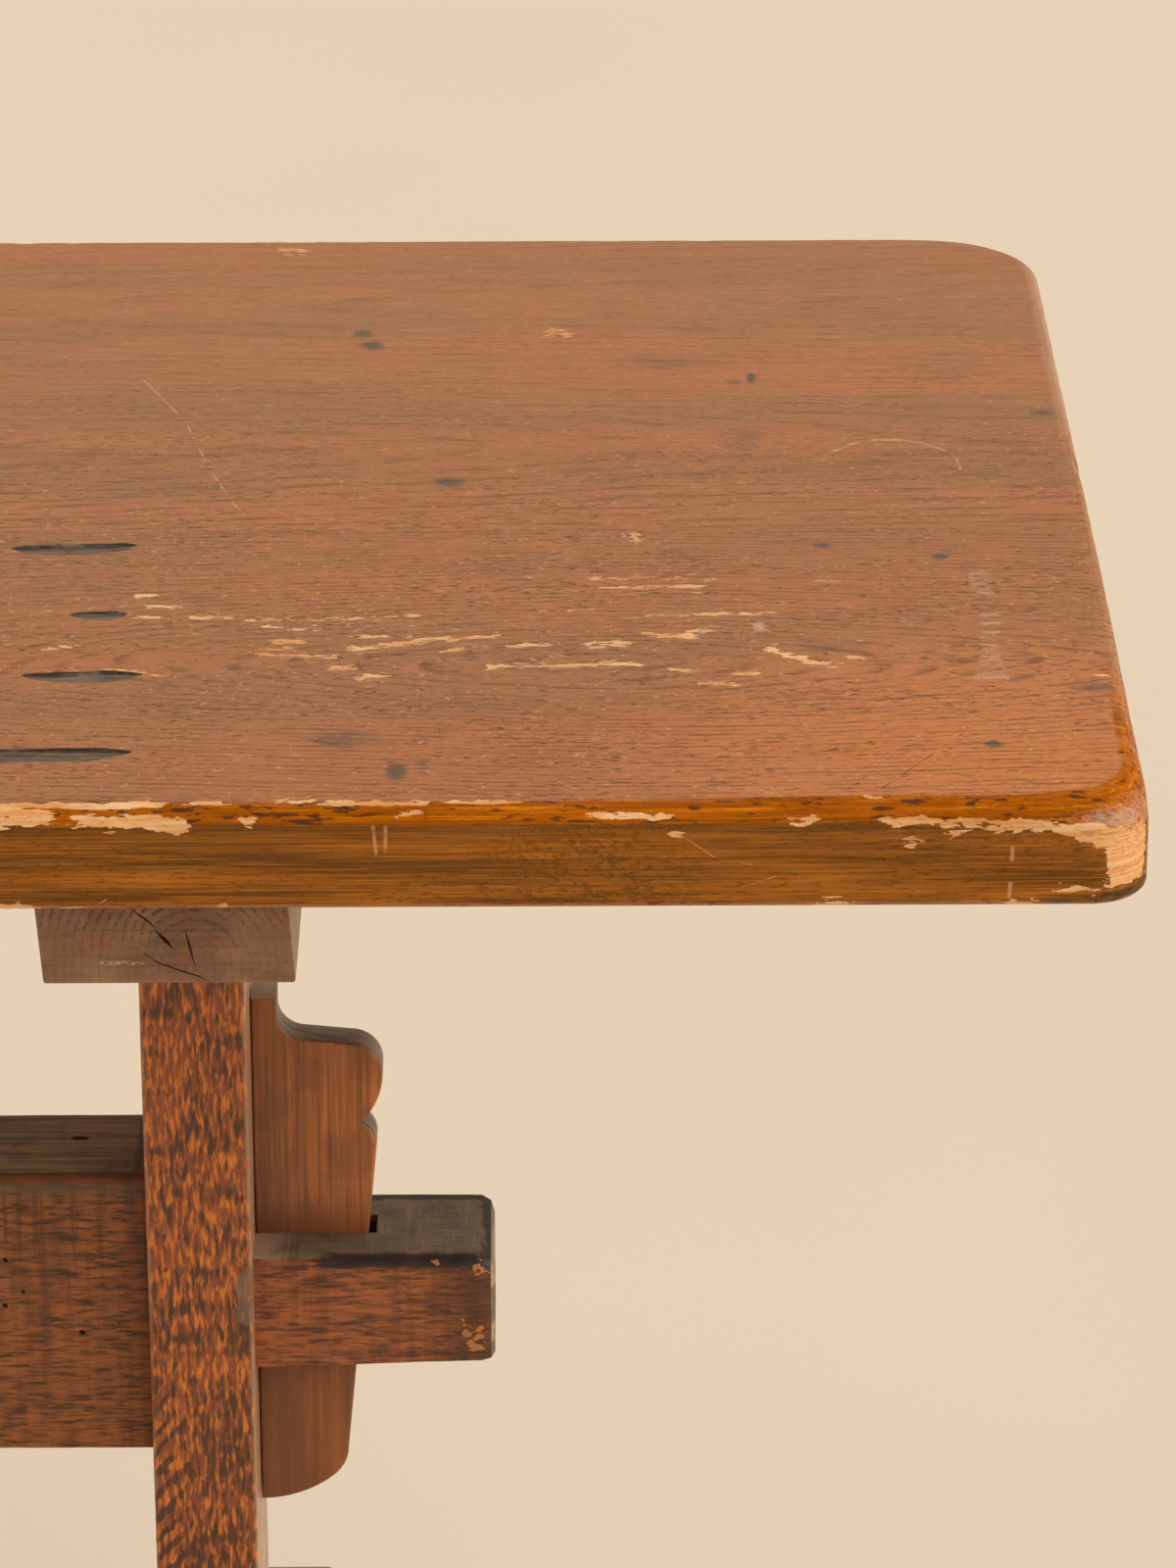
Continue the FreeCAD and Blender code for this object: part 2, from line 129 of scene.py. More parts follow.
def belted(start, end, step, belts=()):
    """Places from start to end, no further apart than a step.
    A belt is a low and a high place and a finer step between them."""
    stops = sorted({start, end, *(stop for belt in belts for stop in belt[:2] if start < stop < end)})
    places = [start]
    for low, high in zip(stops, stops[1:]):
        finest = min([step, *(fine for first, last, fine in belts if first < (low + high) / 2 < last)])
        count = max(1, math.ceil((high - low) / finest - 1e-6))
        places.extend(low + (high - low) * (i + 1) / count for i in range(count))
    return np.array(places)


def within(value, low, high, soft):
    """1 between two bounds and 0 outside them, with soft steps."""
    return smooth(value, low - soft, low + soft) * (1 - smooth(value, high - soft, high + soft))


def inside_box(x, y, bounds, soft_x, soft_y):
    """1 inside a rectangle and 0 outside it.
    Its bounds are millimetres: from and to along, and from and to across."""
    from_x, to_x, from_y, to_y = np.array(bounds) * MM
    return within(x, from_x, to_x, soft_x) * within(y, from_y, to_y, soft_y)


# Meshes

class Shell:
    """Points and faces of one closed surface, put together from sheets and flat faces."""

    def __init__(self):
        self.points = []
        self.faces = []

    def sheet(self, rows, closed=False):
        """A grid of four-sided faces. closed joins the last place of each row to the first."""
        rows = np.asarray(rows, float)
        count, width = rows.shape[:2]
        start = len(self.points)
        self.points.extend(map(tuple, rows.reshape(-1, 3)))
        across = width if closed else width - 1
        for i in range(count - 1):
            for j in range(across):
                a = start + i * width + j
                b = start + i * width + (j + 1) % width
                self.faces.append((a, b, b + width, a + width))

    def face(self, loop):
        start = len(self.points)
        self.points.extend(map(tuple, np.asarray(loop, float)))
        self.faces.append(tuple(range(start, start + len(loop))))

    def tube(self, rows):
        """A closed sheet with a flat face at each end."""
        self.sheet(rows, closed=True)
        self.face(rows[0])
        self.face(rows[-1])


def place_of(mesh):
    flat = np.empty(len(mesh.vertices) * 3)
    mesh.vertices.foreach_get("co", flat)
    return flat.reshape(-1, 3)


def set_places(mesh, places):
    mesh.vertices.foreach_set("co", np.asarray(places, np.float32).ravel())
    mesh.update()


def set_marks(mesh, marks):
    for name, values in marks.items():
        layer = mesh.attributes.new(name, "FLOAT", "POINT")
        layer.data.foreach_set("value", np.asarray(values, np.float32))


def weld(mesh):
    work = bmesh.new()
    work.from_mesh(mesh)
    bmesh.ops.remove_doubles(work, verts=work.verts, dist=WELD)
    bmesh.ops.dissolve_degenerate(work, edges=work.edges, dist=WELD)
    bmesh.ops.recalc_face_normals(work, faces=work.faces)
    work.to_mesh(mesh)
    work.free()


def round_shading(mesh):
    mesh.shade_smooth()
    mesh.set_sharp_from_angle(angle=SHARP_FROM)


def make_object(name, shell):
    mesh = bpy.data.meshes.new(name)
    mesh.from_pydata(shell.points, [], shell.faces)
    weld(mesh)
    made = bpy.data.objects.new(name, mesh)
    bpy.context.scene.collection.objects.link(made)
    return made


def cut(piece, cutters):
    """Takes the cutters' solids out of the piece."""
    for cutter in cutters:
        step = piece.modifiers.new("cut", "BOOLEAN")
        step.operation = "DIFFERENCE"
        step.solver = "EXACT"
        step.object = cutter
    graph = bpy.context.evaluated_depsgraph_get()
    old = piece.data
    piece.data = bpy.data.meshes.new_from_object(piece.evaluated_get(graph))
    piece.modifiers.clear()
    bpy.data.meshes.remove(old)
    for cutter in cutters:
        bpy.data.objects.remove(cutter)


def finish_piece(piece, material, body, node):
    piece.data.materials.clear()
    piece.data.materials.append(material)
    round_shading(piece.data)
    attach(piece, body)
    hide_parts(node)


def make_cutter(rows):
    shell = Shell()
    shell.tube(rows)
    return make_object("cutter", shell)


def block(low, high):
    """A box-shaped cutter."""
    (x0, y0, z0), (x1, y1, z1) = low, high
    ring = [(x0, y0), (x1, y0), (x1, y1), (x0, y1)]
    return make_cutter([[(x, y, z) for x, y in ring] for z in (z0, z1)])


# The top: three boards, its round corners, worn arris, gouges and flakes

def inside_plan(x, y):
    """How far inside the outline of the top, and the direction out of it."""
    radius = np.where(y < 0, FRONT_CORNER, BACK_CORNER)
    over_x = np.abs(x) - half_length + radius
    over_y = np.abs(y) - half_depth + radius
    reach = np.maximum(np.hypot(over_x, over_y), 1e-9)
    corner = (over_x > 0) & (over_y > 0)
    lengthwise = over_x > over_y
    inside = np.where(corner, radius - reach, radius - np.maximum(over_x, over_y))
    out_x = np.where(corner, over_x / reach, lengthwise) * np.sign(x)
    out_y = np.where(corner, over_y / reach, ~lengthwise) * np.sign(y)
    return inside, out_x, out_y


def arris_size(x, y):
    """Run and fall of the worn upper arris: broad along the front, fullest at its corners."""
    _, _, out_y = inside_plan(x, y)
    frontward = np.clip(-out_y, 0, 1)
    before_corner = half_length - FRONT_CORNER - np.abs(x)
    past_corner = y - front_y - FRONT_CORNER
    at_corner = 1 - smooth(before_corner, -CORNER_BEFORE, CORNER_ALONG) * frontward
    at_corner *= 1 - smooth(past_corner, -CORNER_BEFORE, CORNER_ACROSS) * (1 - frontward)
    near_corner = (1 - smooth(past_corner, 0, END_WEAR_REACH)) * (1 - frontward)
    front_run = ARRIS_RUN + ARRIS_RUN_GROWTH * smooth(np.abs(x), BROAD_FROM, BROAD_TO)
    run = END_ARRIS + (front_run - END_ARRIS) * frontward + END_WEAR_RUN * near_corner
    fall = END_ARRIS + (ARRIS_FALL - END_ARRIS) * frontward + END_WEAR_FALL * near_corner
    return run + (CORNER_RUN - run) * at_corner, fall + CORNER_FALL * at_corner


def edge_profile(run, fall, inset):
    """The section of the top's edge: places in from the outline, and heights, from below round to above."""
    under_turn = np.linspace(0, math.pi / 2, 4)
    upper_turn = np.linspace(0, math.pi / 2, 11)
    face = np.linspace(under_z + UNDER_ARRIS, top_z - fall, 15)[1:-1]
    flat = np.linspace(run, inset, 12)[1:]
    inward = [[inset, inset * 0.4], UNDER_ARRIS * (1 - np.sin(under_turn)), np.zeros(len(face)),
              run * (1 - np.cos(upper_turn)), flat]
    height = [[under_z, under_z], under_z + UNDER_ARRIS * (1 - np.cos(under_turn)), face,
              top_z - fall * (1 - np.sin(upper_turn)), np.full(len(flat), top_z)]
    return np.concatenate(inward), np.concatenate(height)


def edge_band(shell, outline, into, inset, to_world):
    """Lays the edge's section along the outline. into is the direction in from each of its points."""
    band = []
    for (x, v), (into_x, into_v) in zip(outline, into):
        spot = to_world(x + into_x * JUST_INSIDE, v + into_v * JUST_INSIDE, top_z)
        run, fall = arris_size(spot[0], spot[1])
        inward, height = edge_profile(float(run), float(fall), inset)
        band.append(to_world(x + into_x * inward, v + into_v * inward, height))
    shell.sheet(band)


# Steps of the boards' surfaces along and across the table, finer towards the worn end
COLUMN_STEP = 9 * MM
COLUMN_BELTS = [(0.45, half_length, 3 * MM), (0.485, half_length, 1.7 * MM), (0.485, 0.57, 1.3 * MM)]
ROW_STEP = 6 * MM
CORNER_STEPS = 26


def make_board(name, node, material, outer):
    """outer is -1 or 1 where the board has the top's front or back edge, and 0 between two seams."""
    low, high = corners(node)
    width = high[1] - low[1]
    inset = {-1: FRONT_CORNER, 1: BACK_CORNER, 0: END_BAND}[outer]

    def to_world(x, v, z):
        y = high[1] - v if outer > 0 else low[1] + v
        return np.stack(np.broadcast_arrays(x, y, z), axis=-1)

    reach = half_length - inset
    columns = belted(-reach, reach, COLUMN_STEP, COLUMN_BELTS)
    first = inset if outer else 0
    belts = [(base - GOUGE_FRONT_BELT, base + GOUGE_BACK_BELT, GOUGE_STEP) for _, base, *_ in GOUGES]
    belts = [(a - low[1], b - low[1], fine) for a, b, fine in [*belts, FLAKE_BELT] if low[1] < a < high[1]]
    rows = belted(first, width, ROW_STEP, belts)
    shell = Shell()

    left = [((-half_length, v), (1, 0)) for v in rows[::-1]]
    right = [((half_length, v), (-1, 0)) for v in rows]
    if outer:
        angles = np.linspace(0, math.pi / 2, CORNER_STEPS)[1:-1]
        turn = [(-math.cos(a), -math.sin(a)) for a in angles]
        left_arc = [((-reach + inset * c, inset + inset * s), (-c, -s)) for c, s in turn]
        right_arc = [((reach - inset * c, inset + inset * s), (c, -s)) for c, s in turn[::-1]]
        outer_edge = [((x, 0), (0, 1)) for x in columns]
        bands = [left + left_arc + outer_edge + right_arc + right]
    else:
        bands = [left, right]
    for stations in bands:
        outline, into = zip(*stations)
        edge_band(shell, outline, into, inset, to_world)

    shell.sheet([to_world(x, rows, top_z) for x in columns])
    inner = columns[1:-1]
    shell.sheet([to_world(x, np.array([first, width]), under_z) for x in inner])
    for end in (0, -1):
        outer_row = to_world(columns[end], rows, under_z)
        inner_row = to_world(inner[end], rows[[-1, 0]], under_z)
        shell.face(np.concatenate([outer_row, inner_row]))
    for seam in ([width] if outer else [0, width]):
        shell.sheet([to_world(x, seam, np.array([under_z, top_z])) for x in columns])
        for end in (-1, 1):
            inward, height = edge_profile(END_ARRIS, END_ARRIS, inset)
            shell.face(to_world(end * (half_length - inward), seam, height))

    piece = make_object(name, shell)
    places, marks = wear_top(place_of(piece.data))
    set_places(piece.data, places)
    set_marks(piece.data, marks)
    finish_piece(piece, material, "frame", node)


# Gouges in the top: place of the steep back rim, half length, breadth, depth and slant
GOUGES = [
    (0.5170, -0.0618, 0.0265, 0.0150, 0.0013, 0.07),
    (0.5320, -0.1378, 0.0120, 0.0110, 0.0008, 0.00),
    (0.5298, -0.2027, 0.0245, 0.0140, 0.0014, 0.03),
    (0.5150, -0.2820, 0.0390, 0.0165, 0.0015, 0.01),
]
GOUGE_STEP = 0.75 * MM
GOUGE_FRONT, GOUGE_FRONT_BELT = 11 * MM, 16 * MM
GOUGE_BACK, GOUGE_BACK_BELT = 3 * MM, 8 * MM
GOUGE_TIP = 1.3
GOUGE_WAVE = 0.8 * MM

# The front and back side of a gouge: edge and belt, direction across the table, and share of the breadth
GOUGE_SIDES = [(GOUGE_FRONT, GOUGE_FRONT_BELT, -1, 0.72), (GOUGE_BACK, GOUGE_BACK_BELT, 1, 0.28)]

# Bare flakes on the top, in millimetres: start and end of each, half width, and how whole it is
TOP_FLAKES = [
    (543, -142, 557, -142, 2.5, 0.8), (571, -142, 588, -143, 2.5, 0.7), (595, -146, 664, -142, 3.0, 0.6),
    (602, -152, 625, -157, 2.5, 0.7), (607, -169, 617, -169, 3.0, 0.8), (604, -176, 612, -176, 3.0, 0.8),
    (597, -182, 630, -185, 2.5, 0.7), (637, -164, 661, -164, 2.5, 0.7), (638, -177, 665, -169, 4.0, 0.7),
    (665, -169, 678, -167, 5.0, 0.8), (674, -180, 686, -176, 2.5, 0.7), (680, -166, 696, -164, 3.0, 0.7),
    (630, -197, 638, -197, 4.0, 0.8), (641, -208, 650, -205, 4.0, 0.7), (548, -119, 555, -116, 3.5, 0.8),
    (552, -130, 566, -131, 2.5, 0.7), (513, -175, 525, -174, 2.5, 0.7), (519, -198, 553, -200, 2.5, 0.6),
    (553, -204, 561, -204, 3.0, 0.7), (735, -101, 787, -102, 2.5, 0.5), (741, -112, 783, -110, 3.0, 0.6),
    (715, -136, 738, -136, 2.5, 0.6), (759, -142, 812, -139, 2.5, 0.6), (701, -174, 722, -172, 2.5, 0.6),
    (736, -174, 750, -171, 5.0, 0.8), (758, -163, 775, -165, 4.5, 0.8), (776, -159, 783, -159, 3.0, 0.7),
    (695, -196, 752, -194, 4.0, 0.8), (767, -201, 775, -201, 3.0, 0.7), (794, -204, 801, -204, 3.5, 0.8),
    (780, -214, 792, -216, 3.0, 0.7), (808, -181, 814, -185, 5.0, 0.8), (818, -188, 833, -196, 5.0, 0.6),
    (840, -188, 845, -188, 2.5, 0.7), (754, -48, 755, -59, 3.0, 0.8), (718, 206, 726, 203, 6.5, 0.7),
    (939, -207, 945, -208, 2.0, 0.7), (594, 325, 602, 324, 5.0, 0.7),
]

# Where most of them lie across the table, and the finer step of the surface there
FLAKE_BELT = (-0.222, -0.100, 1.0 * MM)

# Bare flakes along the front edge, in millimetres: from and to along it, and from and to in depth below the
# top (less than 0 is in from the edge)
EDGE_FLAKES = [
    (470, 567, -9, -3.5), (470, 527, -3.5, 5.5), (536, 570, 0.5, 6.5), (563, 582, 2, 9), (574, 592, -9, -6),
    (608, 631, -9.5, -7.5), (633, 672, -9, -5), (659, 666, -2, 2), (599, 605, 1, 4.5), (680, 708, -9.5, -7),
    (732, 766, 0.5, 3.5), (808, 817, 3, 6.5), (763, 770, 9, 11.5), (836, 846, -12, -9.5),
    (846, 884, 4.5, 8), (850, 853, 7, 14), (852, 857, 12, 16), (873, 880, 7, 12), (884, 912, 5, 9),
    (914, 935, 33.5, 35.5), (470, 542, 39.8, 43), (582, 593, 39.8, 43), (819, 836, 39.8, 43),
    (892, 906, 39.8, 43),
]

# The bare front corner: how far along the table it starts, at heights from below up
CORNER_HEIGHTS = (0.7165, 0.723, 0.732, 0.736, 0.739, 0.7435)
CORNER_STARTS = (0.934, 0.933, 0.9315, 0.924, 0.915, 0.905)
CORNER_TURN = (0.925, 0.947)
CORNER_DROP = 4.5 * MM

# The grimy streak under the bare corner: where it starts along the table, its heights, and where it rises
GRIME_START = (0.903, 0.912)
GRIME_LOW, GRIME_HIGH = 0.7088, 0.7125
GRIME_TURN = (0.922, 0.945)
GRIME_RISE = 3 * MM

# Oval patches, as middle and half sizes: a scuff on the corner that is partly a painted highlight, placed
# along and below the top, and warmer wood and a frayed finish, placed along and across it
SCUFF_AND_GLINT_PATCH = (0.934, 9 * MM, 0.024, 8 * MM)
WARM_PATCH = (0.90, -0.30, 0.17, 0.16)
FRAYED_PATCH = (0.70, -0.155, 0.19, 0.075)

# The pitted stretch of the front edge
PITTED_MIDDLE, PITTED_HALF = 0.733, 0.050

# Dark spots on the top: place, half sizes and strength
STAINS = [
    (0.633, 0.206, 0.007, 0.007, 0.9), (0.638, 0.190, 0.008, 0.008, 1.0), (0.593, 0.207, 0.007, 0.004, 0.6),
    (0.675, 0.014, 0.010, 0.008, 0.9), (0.658, -0.303, 0.0065, 0.010, 0.9),
    (0.8825, -0.078, 0.006, 0.006, 0.9), (0.834, -0.064, 0.006, 0.005, 0.8),
    (0.892, -0.278, 0.0045, 0.005, 1.0), (0.939, 0.096, 0.007, 0.006, 0.9),
    (0.636, -0.270, 0.020, 0.016, 0.55), (0.802, 0.136, 0.008, 0.004, 0.9),
    (0.810, 0.144, 0.003, 0.010, 1.0), (0.700, -0.090, 0.040, 0.020, 0.3),
    (0.560, 0.008, 0.050, 0.012, 0.4), (0.770, 0.165, 0.040, 0.018, 0.35),
    (0.890, 0.160, 0.045, 0.030, 0.3), (0.690, -0.236, 0.018, 0.010, 0.35),
    (0.834, -0.176, 0.030, 0.010, 0.35), (0.937, -0.220, 0.013, 0.006, 0.7),
]

# Pale smudges on the top, in millimetres: from and to along the table, from and to across it, and strength
SMUDGES = [
    (893, 902, -117, -93, 0.5), (895, 903, -120, -117, 0.9), (895, 904, -144, -141, 0.8),
    (894, 904, -153, -150, 0.8), (894, 902, -163, -160, 0.8), (893, 902, -184, -173, 0.5),
    (891, 902, -198, -184, 0.5), (889, 903, -208, -198, 0.5), (888, 903, -211, -208, 0.8),
    (828, 840, -106, -103, 0.8), (801, 806, -160, -150, 0.9),
]


def gouged(x, y, upper):
    """Hollows the gouges: gives the moved places across, the depth, the hollow and the painted shadow along
    its far rim.
    """
    depth, hollowed, dark = np.zeros((3, len(x)))
    moved = y.copy()
    wave = wander(np.stack([x, x, x], axis=1), (0.007, 1, 1), 12)
    for middle, base, length, breadth, deepest, slant in GOUGES:
        along = (x - middle) / length
        offset = y - base
        near = upper & (offset > -GOUGE_FRONT_BELT) & (offset < GOUGE_BACK_BELT)
        near &= np.abs(along) < GOUGE_TIP
        taper = np.clip(1 - np.square(along), 0, 1) ** 0.6
        past_tip = smooth(np.abs(along), 1.0, GOUGE_TIP)
        for edge, belt, sign, part in GOUGE_SIDES:
            reach = offset * sign
            side = near & (reach >= 0)
            rim = breadth * part * np.maximum(taper * (1 + 0.25 * wave), 0.06)
            rim += (edge - rim) * past_tip
            inner = reach / edge * rim
            outer = rim + (reach - edge) / (belt - edge) * (belt - rim)
            lean = (slant * (x - middle) + GOUGE_WAVE * wave) * (1 - past_tip)
            lean *= 1 - smooth(reach, 0.5 * edge, belt)
            moved = np.where(side, base + sign * np.where(reach < edge, inner, outer) + lean, moved)
        across = np.where(offset < 0, offset / GOUGE_FRONT, offset / GOUGE_BACK)
        hollow = smooth(across, -1.05, 0.1) * np.clip((1 - across) / 0.5, 0, 1) * np.sqrt(taper)
        hollow = np.where(near & (np.abs(across) < 1), hollow, 0)
        depth += deepest * hollow
        hollowed = np.maximum(hollowed, smooth(hollow, 0.0, 0.07))
        # Painted shadow on the steep far wall of each gouge
        dark = np.maximum(dark, (hollow > 0) * smooth(across + 0.35 * wave, -0.5, 0.6))
    return moved, depth, hollowed, dark


def flaked(points, chart, upper, front):
    """Where the finish has flaked off: over 1 is whole, and less is broken up."""
    x, y, _ = points.T
    bare = np.zeros(len(x))
    for start_x, start_y, end_x, end_y, half, whole in TOP_FLAKES:
        from_x, from_y = x - start_x * MM, y - start_y * MM
        span_x, span_y = (end_x - start_x) * MM, (end_y - start_y) * MM
        share = np.clip((from_x * span_x + from_y * span_y) / (span_x ** 2 + span_y ** 2), 0, 1)
        gap = np.hypot(from_x - share * span_x, from_y - share * span_y)
        bare = np.maximum(bare, np.where(upper, whole * hump(gap / (half * MM)), 0))
    x = x + 5 * MM * wander(points, (0.02, 0.02, 0.0035), 21)
    chart = chart + 1.3 * MM * wander(points, (0.011, 0.02, 0.02), 22)
    chart = chart + 0.7 * MM * wander(points, (0.004, 0.02, 0.02), 23)
    for bounds in EDGE_FLAKES:
        patch = inside_box(x, chart, bounds, 4 * MM, 1.5 * MM)
        bare = np.maximum(bare, np.where(front, 1.2 * patch, 0))
    return bare


# Wear of the top: swell of its surface, depths of the rough arris and of the flakes, and reach of a corner
CORNER_SPAN = FRONT_CORNER + 22 * MM
SWELL = 0.22 * MM
ROUGH_DEPTH = 0.9 * MM
EDGE_FLAKE_DEPTH = 0.5 * MM
TOP_FLAKE_DEPTH = 0.2 * MM
DEEPEST_WEAR = 2 * MM
WEAR_SHARE = 0.7


def wear_top(points):
    """The wear of the top: moves its points, and says where the finish is gone or stained, and where shadow
    and a highlight are painted.
    """
    x, y, z = points.T.copy()
    inside, out_x, out_y = inside_plan(x, y)
    below = top_z - z
    chart = below - inside
    run, fall = arris_size(x, y)
    upper = below < 0.2 * MM
    front = y < front_y + FRONT_CORNER + 5 * MM
    swell = wander(points, (0.19, 0.07, 0.1), 11)
    z = np.where(upper, z - SWELL * (1 + swell), z)
    moved_y, hollow, gouge, dark = gouged(x, y, upper)
    bare = flaked(points, chart, upper, front)

    far = np.abs(x)
    at_corner = front & (far > half_length - CORNER_SPAN)
    height = points[:, 2]
    start = np.interp(height, CORNER_HEIGHTS, CORNER_STARTS)
    upper_end = CORNER_HEIGHTS[-1] - 1 * MM - CORNER_DROP * smooth(far, *CORNER_TURN)
    bare_corner = smooth(far - start, -1 * MM, 2 * MM) * (1 - smooth(np.abs(out_x), 0.84, 0.97))
    bare_corner *= within(height, CORNER_HEIGHTS[0], upper_end, 1 * MM)
    bare = np.maximum(bare, np.where(at_corner, 1.9 * bare_corner, 0))
    grime_end = GRIME_HIGH + GRIME_RISE * smooth(far, *GRIME_TURN)
    grime = at_corner * smooth(far, *GRIME_START) * within(height, GRIME_LOW, grime_end, 0.6 * MM)

    side = np.clip(1 - inside / (run + 3 * MM), 0, 1) * np.clip(1 - below / (fall + 5 * MM), 0, 1)
    notch = wander(points, (0.013, 0.013, 0.02), 13) + 0.6 * wander(points, (0.005, 0.005, 0.006), 14)
    rough = 0.35 + 0.7 * np.minimum(bare, 1) + 0.5 * np.clip(notch, 0, 1)
    depth = side * rough * (0.5 + 0.5 * notch) * ROUGH_DEPTH
    depth += EDGE_FLAKE_DEPTH * np.minimum(bare, 1) * (below < 36 * MM) * (inside < run)
    depth = np.clip(depth, 0, DEEPEST_WEAR) * (inside < run + 2 * MM) * WEAR_SHARE
    x -= out_x * depth
    y = moved_y - out_y * depth
    z -= depth * (below < fall + 6 * MM) + hollow + TOP_FLAKE_DEPTH * np.minimum(bare, 1) * upper

    stain = 0.55 * grime
    for *patch, strength in STAINS:
        stain = np.maximum(stain, np.where(upper, strength * oval(x, y, patch), 0))
    film = np.zeros(len(x))
    for *bounds, strength in SMUDGES:
        smudge = inside_box(x, y, bounds, 1 * MM, 0.8 * MM)
        film = np.maximum(film, np.where(upper, strength * smudge, 0))
    # The corner scuff: partly scuffed finish, partly a painted highlight
    film = np.maximum(film, np.where(at_corner, oval(np.abs(x), below, SCUFF_AND_GLINT_PATCH), 0))
    soft = (0.8 + 3 * np.abs(out_x)) * MM
    band = smooth((run + 0.5 * MM - inside) / soft, -1, 1) * (1 - smooth(out_y, 0.1, 0.6))
    band *= 1 - smooth(below, fall - 1 * MM, fall + 1.5 * MM)
    warm = np.where(upper, oval(x, y, WARM_PATCH), 0)
    pitted = np.where(front & (below > fall), hump((x - PITTED_MIDDLE) / PITTED_HALF), 0)
    frayed = np.where(upper, oval(x, y, FRAYED_PATCH), 0)
    marks = {"warm": warm, "bare": bare, "gouge": gouge, "dark": dark, "stain": stain, "film": film,
             "arris": band, "pitted": pitted, "frayed": frayed}
    return np.stack([x, y, z], axis=1), marks


# Squared timbers

LEAST_EASE = 0.15 * MM


def timber_ring(low, high, ease, per_side, per_turn):
    """A rectangle with eased corners, as points round it. ease has one length for each corner."""
    (a0, b0), (a1, b1) = low, high
    spots = [(a1, b1, 0), (a0, b1, 1), (a0, b0, 2), (a1, b0, 3)]
    ring = []
    for (a, b, quarter), radius in zip(spots, ease):
        turn_a = a - math.copysign(radius, a - (a0 + a1) / 2)
        turn_b = b - math.copysign(radius, b - (b0 + b1) / 2)
        for step in range(per_turn):
            angle = (quarter + step / (per_turn - 1)) * math.pi / 2
            ring.append((turn_a + radius * math.cos(angle), turn_b + radius * math.sin(angle)))
    full = []
    for index, point in enumerate(ring):
        full.append(point)
        if index % per_turn == per_turn - 1:
            after = ring[(index + 1) % len(ring)]
            for step in range(1, per_side):
                share = step / per_side
                full.append([a + (b - a) * share for a, b in zip(point, after)])
    return full


def timber(shell, axis, stations, ease, seed, per_side=6, per_turn=5):
    """A timber along an axis. Each station is (place along, low corner, high corner, share of the easing).
    The share is one number, or one for each corner, from the high one against the clock."""
    rows = []
    for along, low, high, share in stations:
        spots = np.array([[along, corner * 0.2, 0] for corner in range(4)])
        uneven = wander(spots, (0.03, 0.05, 1), seed) + 0.5 * wander(spots, (0.007, 0.05, 1), seed + 1)
        radius = np.maximum(ease * np.asarray(share) * (1 + 0.45 * uneven), LEAST_EASE)
        ring = np.array(timber_ring(low, high, radius, per_side, per_turn))
        rows.append(np.insert(ring, axis, along, axis=1))
    shell.tube(rows)


def run_of(start, end, low, high, step, end_ease, share=1.0, open_start=True, turns=4, low_share=(1, 1)):
    """Stations of a straight run, eased at its far end and, where that is open, at its start."""
    low, high, low_share = np.array(low), np.array(high), np.array(low_share)
    angles = np.linspace(0, math.pi / 2, turns)[:-1]
    rounded = [(end_ease * (1 - math.cos(a)), end_ease * (1 - math.sin(a))) for a in angles]

    def eased(along, inset):
        return along, low + inset * low_share, high - inset, share

    stations = []
    begin = start
    if open_start:
        stations.extend(eased(start + along, inset) for along, inset in rounded)
        begin = start + end_ease
    stations.extend((along, low, high, share) for along in belted(begin, end - end_ease, step))
    stations.extend(eased(end - along, inset) for along, inset in rounded[::-1])
    return stations


def hand_planed(places, depth, cell, seed):
    """Small hollows left by hand tools, always inwards from the faces, towards the middle of the piece."""
    low, high = places.min(axis=0), places.max(axis=0)
    hollow = depth * 0.5 * (1 + wander(places, cell, seed))
    return places - (places - (low + high) / 2) / ((high - low) / 2) * hollow[:, None]


def arris_marks(places, boxes, reach):
    """How near each point is to an arris of one of the boxes, from 0 to 1."""
    marks = np.zeros(len(places))
    for low, high in boxes:
        gap = np.minimum(np.abs(places - low), np.abs(places - high))
        gap.sort(axis=1)
        inside = np.all((places > low - 1 * MM) & (places < high + 1 * MM), axis=1)
        marks = np.maximum(marks, inside * np.clip(1 - (gap[:, 0] + gap[:, 1]) / reach, 0, 1))
    return marks


def half_turned(places, sign):
    return places * np.array([sign, sign, 1])


def add_piece(name, shell, side, material, body, node, ease_reach, planed, cutters, boxes=(), chips=(),
              reshape=None):
    """Chips are bared places: a place, and half sizes along the three axes."""
    piece = make_object(name, shell)
    places = place_of(piece.data)
    boxes = boxes or [(places.min(axis=0), places.max(axis=0))]
    chipped = np.zeros(len(places))
    for middle, half in chips:
        offset = np.abs(places - middle) / half
        chipped = np.maximum(chipped, np.prod(1 - smooth(offset, 0.7, 1.1), axis=1))
    set_marks(piece.data, {"worn": arris_marks(places, boxes, ease_reach), "chip": chipped})
    places = hand_planed(places, *planed)
    set_places(piece.data, reshape(places) if reshape else places)
    cut(piece, cutters)
    weld(piece.data)
    set_places(piece.data, half_turned(place_of(piece.data), SIDES.get(side, 1)))
    finish_piece(piece, material, body, node)


POST_EASE = 1.6 * MM
POST_CHIP = (371 * MM, 398 * MM)
POST_CHIP_SHARE = 2.0
POST_CHIP_SOFT = 3 * MM
MORTISE_ROOM = 0.05 * MM
MORTISE_PAST = 10 * MM


